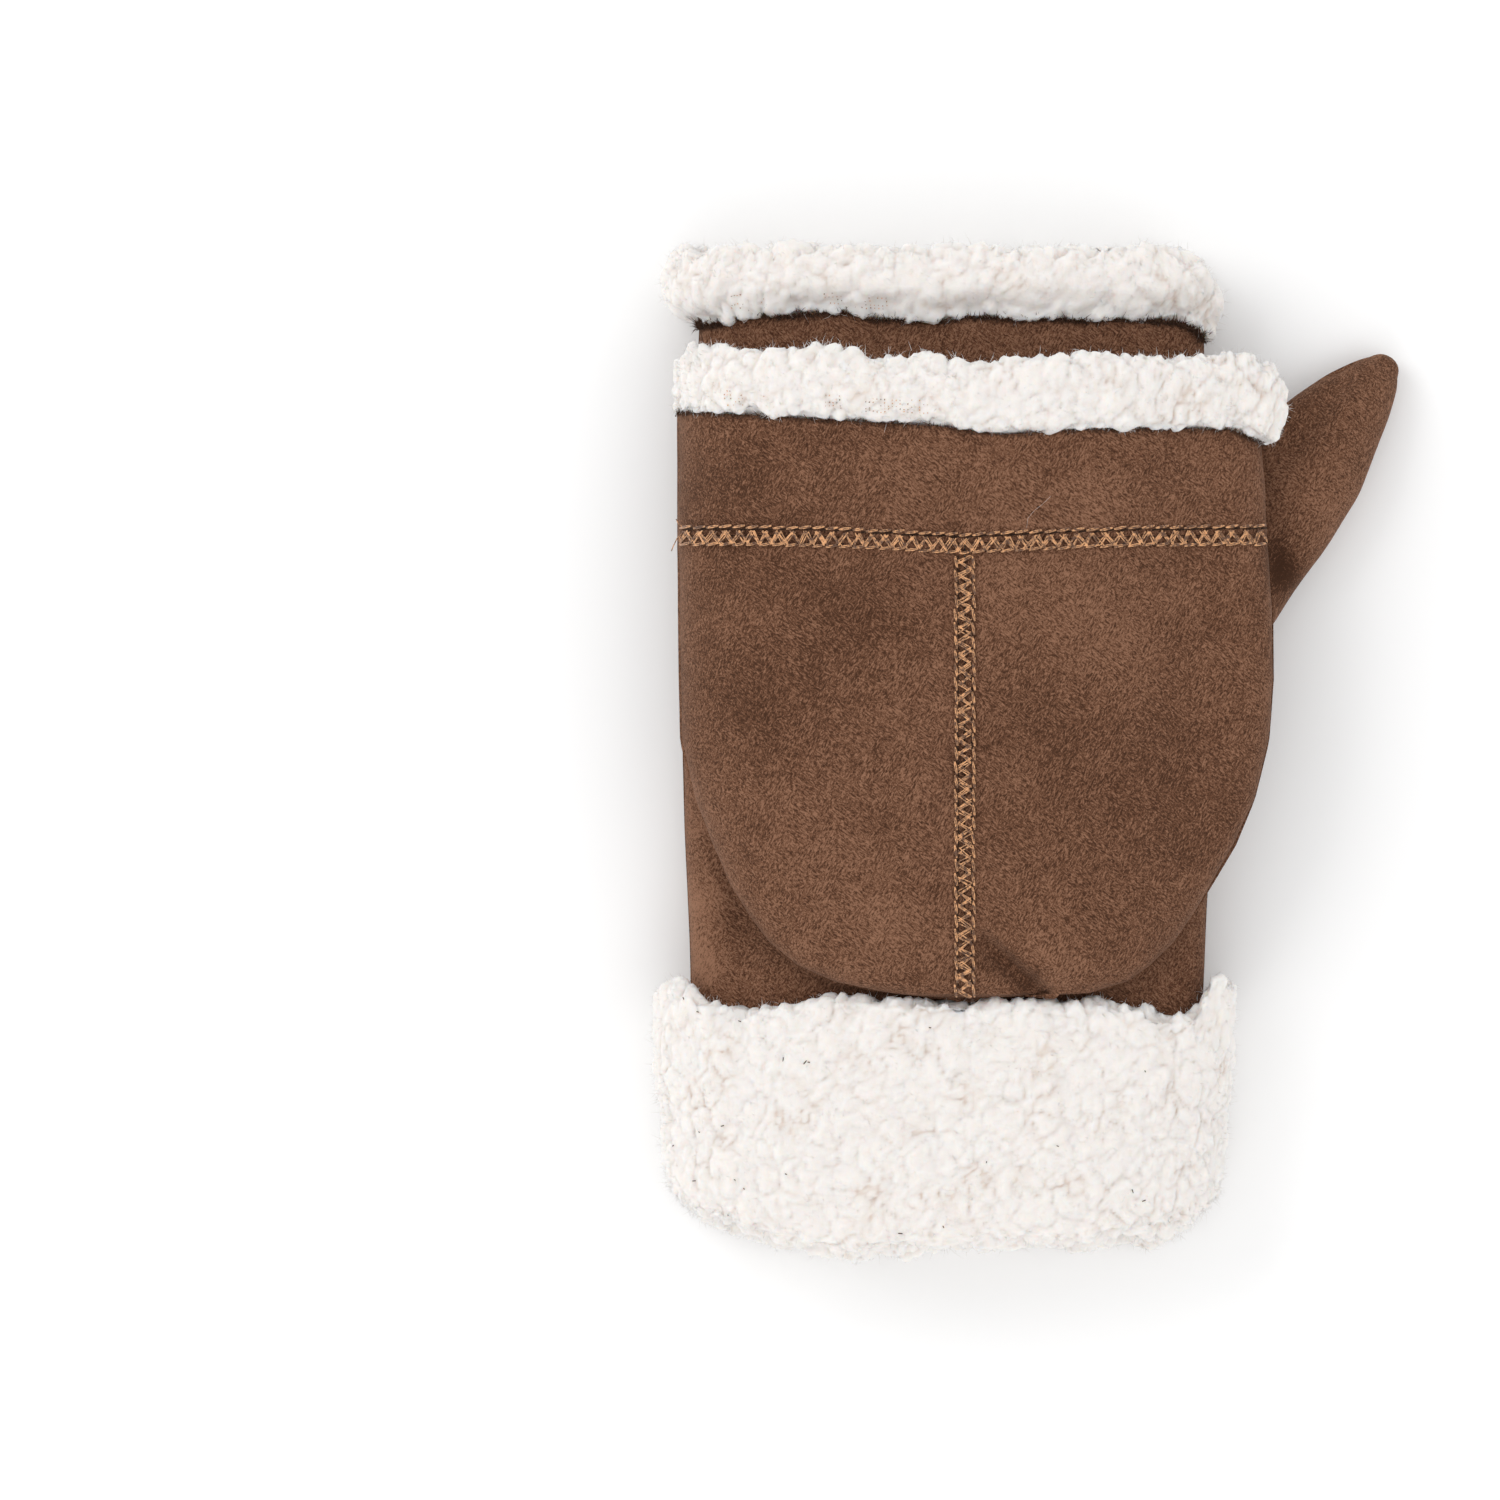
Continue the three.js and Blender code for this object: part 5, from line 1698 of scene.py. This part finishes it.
def frayed_edge(name, surface, place, above, count, longest, seed, turns=(0.012, 0.488)):
    """Short fibres of cut suede, rooted a little above an edge in mm, mostly pointing out of it."""
    chance = np.random.default_rng(seed)
    turn = chance.uniform(*turns, count)
    roots = surface(turn, np.full(count, place), 0.0)
    roots = roots + np.array([0, -0.3, above]) + chance.normal(size=(count, 3)) * np.array([0.2, 0.25, 0.12])
    lean = np.array([0.0, 0.9, 0.7]) + chance.normal(size=(count, 3)) * 0.6
    lean /= np.linalg.norm(lean, axis=1, keepdims=True)
    lengths = longest * chance.uniform(0.3, 1.0, count) ** 1.5
    return fibre_piece(name, roots, lean, lengths, FRAY_WIDTH, FRAY_CURL, suede_edge, "suede", seed + 1)


frayed_edge("finger_edge_fray", hand_cloth, FINGER_EDGE, 0.25, 3000, 1.6, 51)
frayed_edge("hood_edge_fray", hood_cloth, 0.0, 0.0, 1200, 1.2, 53)
frayed_edge("finger_left_fray", hand_cloth, FINGER_EDGE, 0.4, 300, 2.6, 55, (0.462, 0.494))
frayed_edge("finger_right_fray", hand_cloth, FINGER_EDGE, 0.4, 240, 2.4, 57, (0.008, 0.034))

# %% [markdown]
# Nothing worn is quite clean. A long fine hair lies on the hood, two thread ends stand out where the cross
# seam starts, and a few dark specks of suede have been caught in the pile. On the low side of both rolls the
# pile is thin, and its knitted backing shows through in tiny tan dots.

# %% Loose threads
LOOSE_END_RADIUS = 0.12
LOOSE_HAIR_RADIUS = 0.034


def loose_threads():
    start = seam_points("cross", np.array([0.995]), np.array([-0.5]), 0.3)[0]
    ends = [
        start + np.array([[0, 0, 0], [-1.0, -1.0, -0.3], [-1.7, -2.4, -0.8], [-2.2, -3.6, -1.6]]),
        start + np.array([[0, 1.4, 0], [-0.8, 2.0, 0.2], [-1.2, 2.9, -0.2]]),
    ]
    return tubes_piece("loose_thread_ends", ends, LOOSE_END_RADIUS, golden_thread)


def loose_hair():
    """A fine hair on the hood's band, through a few places that are across and along in mm."""
    spine = np.array([(17.0, 150.5), (17.3, 152.5), (18.6, 154.0), (20.3, 155.3), (22.0, 157.0)])
    share = (HOOD_MOUTH - spine[:, 1]) / HOOD_LENGTH
    path = on_hood(turn_at(spine[:, 0] - HOOD_SEAM_SHIFT, share), share, 0.35)
    return tubes_piece("loose_hair", [path], LOOSE_HAIR_RADIUS, pile, "sherpa")


loose_threads()
loose_hair()

# %% Specks and pinholes
SPECK_RADIUS = 0.1
SPECK_LENGTH = 1.0
PINHOLE_LENGTH = 0.3
# the thin pile on a roll's low side is this far past the cut edge, give or take its half width, in mm
THIN_PILE_AT = 3.4
THIN_PILE_HALF = 1.6


def specks(name, raised, normal, fits, count, longest, material, seed):
    """Short bits of thread that lie on a pile body, at random places among those that fit."""
    chance = np.random.default_rng(seed)
    places = np.argwhere(fits & (normal[..., 2] > 0.5))
    picked = places[chance.choice(len(places), count)]
    paths = []
    for i, j in picked:
        middle = raised[i, j] + normal[i, j] * SPECK_RADIUS
        angle = chance.uniform(0, np.pi)
        reach = chance.uniform(0.3, 1.0) * longest / 2 * np.array([math.cos(angle), math.sin(angle), 0.0])
        paths.append(np.array([middle - reach, middle + reach]))
    return tubes_piece(name, paths, SPECK_RADIUS, material, "suede")


def low_left_part(raised, past, first, last):
    """The places on a roll's low side, between two shares of the way across, in a few clusters."""
    across = raised[..., 0] / (HAND_WIDTH / 2)
    clusters = field(raised * np.array([1, 0, 0]), 4.0, 8.3) > 0.05
    is_thin = np.abs(past - THIN_PILE_AT) < THIN_PILE_HALF
    return (across > first) & (across < last) & clusters & is_thin


specks("pile_specks", cuff_raised, cuff_normal, cuff_weight > 0.6, 26, SPECK_LENGTH, dark_suede_for_specks_and_shade, 61)
hood_thin = low_left_part(hood_raised, past, -0.86, -0.05)
specks("hood_pinholes", hood_raised, hood_normal, hood_thin, 110, PINHOLE_LENGTH, golden_thread, 63)
finger_past = np.broadcast_to(finger_curve[:, 0], finger_turn.shape)
finger_thin = low_left_part(finger_raised, finger_past, -0.8, -0.2)
specks("finger_pinholes", finger_raised, finger_normal, finger_thin, 80, PINHOLE_LENGTH, golden_thread, 65)

# %% [markdown]
# The visual model is measured against the solids' box, past which the pile may stand proud.
# The visual model has to stay within the solids' box, give or take what pile may stand proud.

# %% The two boxes
added = [piece for piece in bpy.data.objects if piece.type == "MESH" and len(piece.data.polygons) > 1]
triangles = sum(len(piece.data.loops) - 2 * len(piece.data.polygons) for piece in added)
print("triangles in all:", triangles)
low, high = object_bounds()
past_low = [round((solid - drawn) / MM, 2) for solid, drawn in zip(cad_low, low)]
past_high = [round((drawn - solid) / MM, 2) for solid, drawn in zip(cad_high, high)]
print("passes the solids' box by", past_low, "and", past_high, "mm")
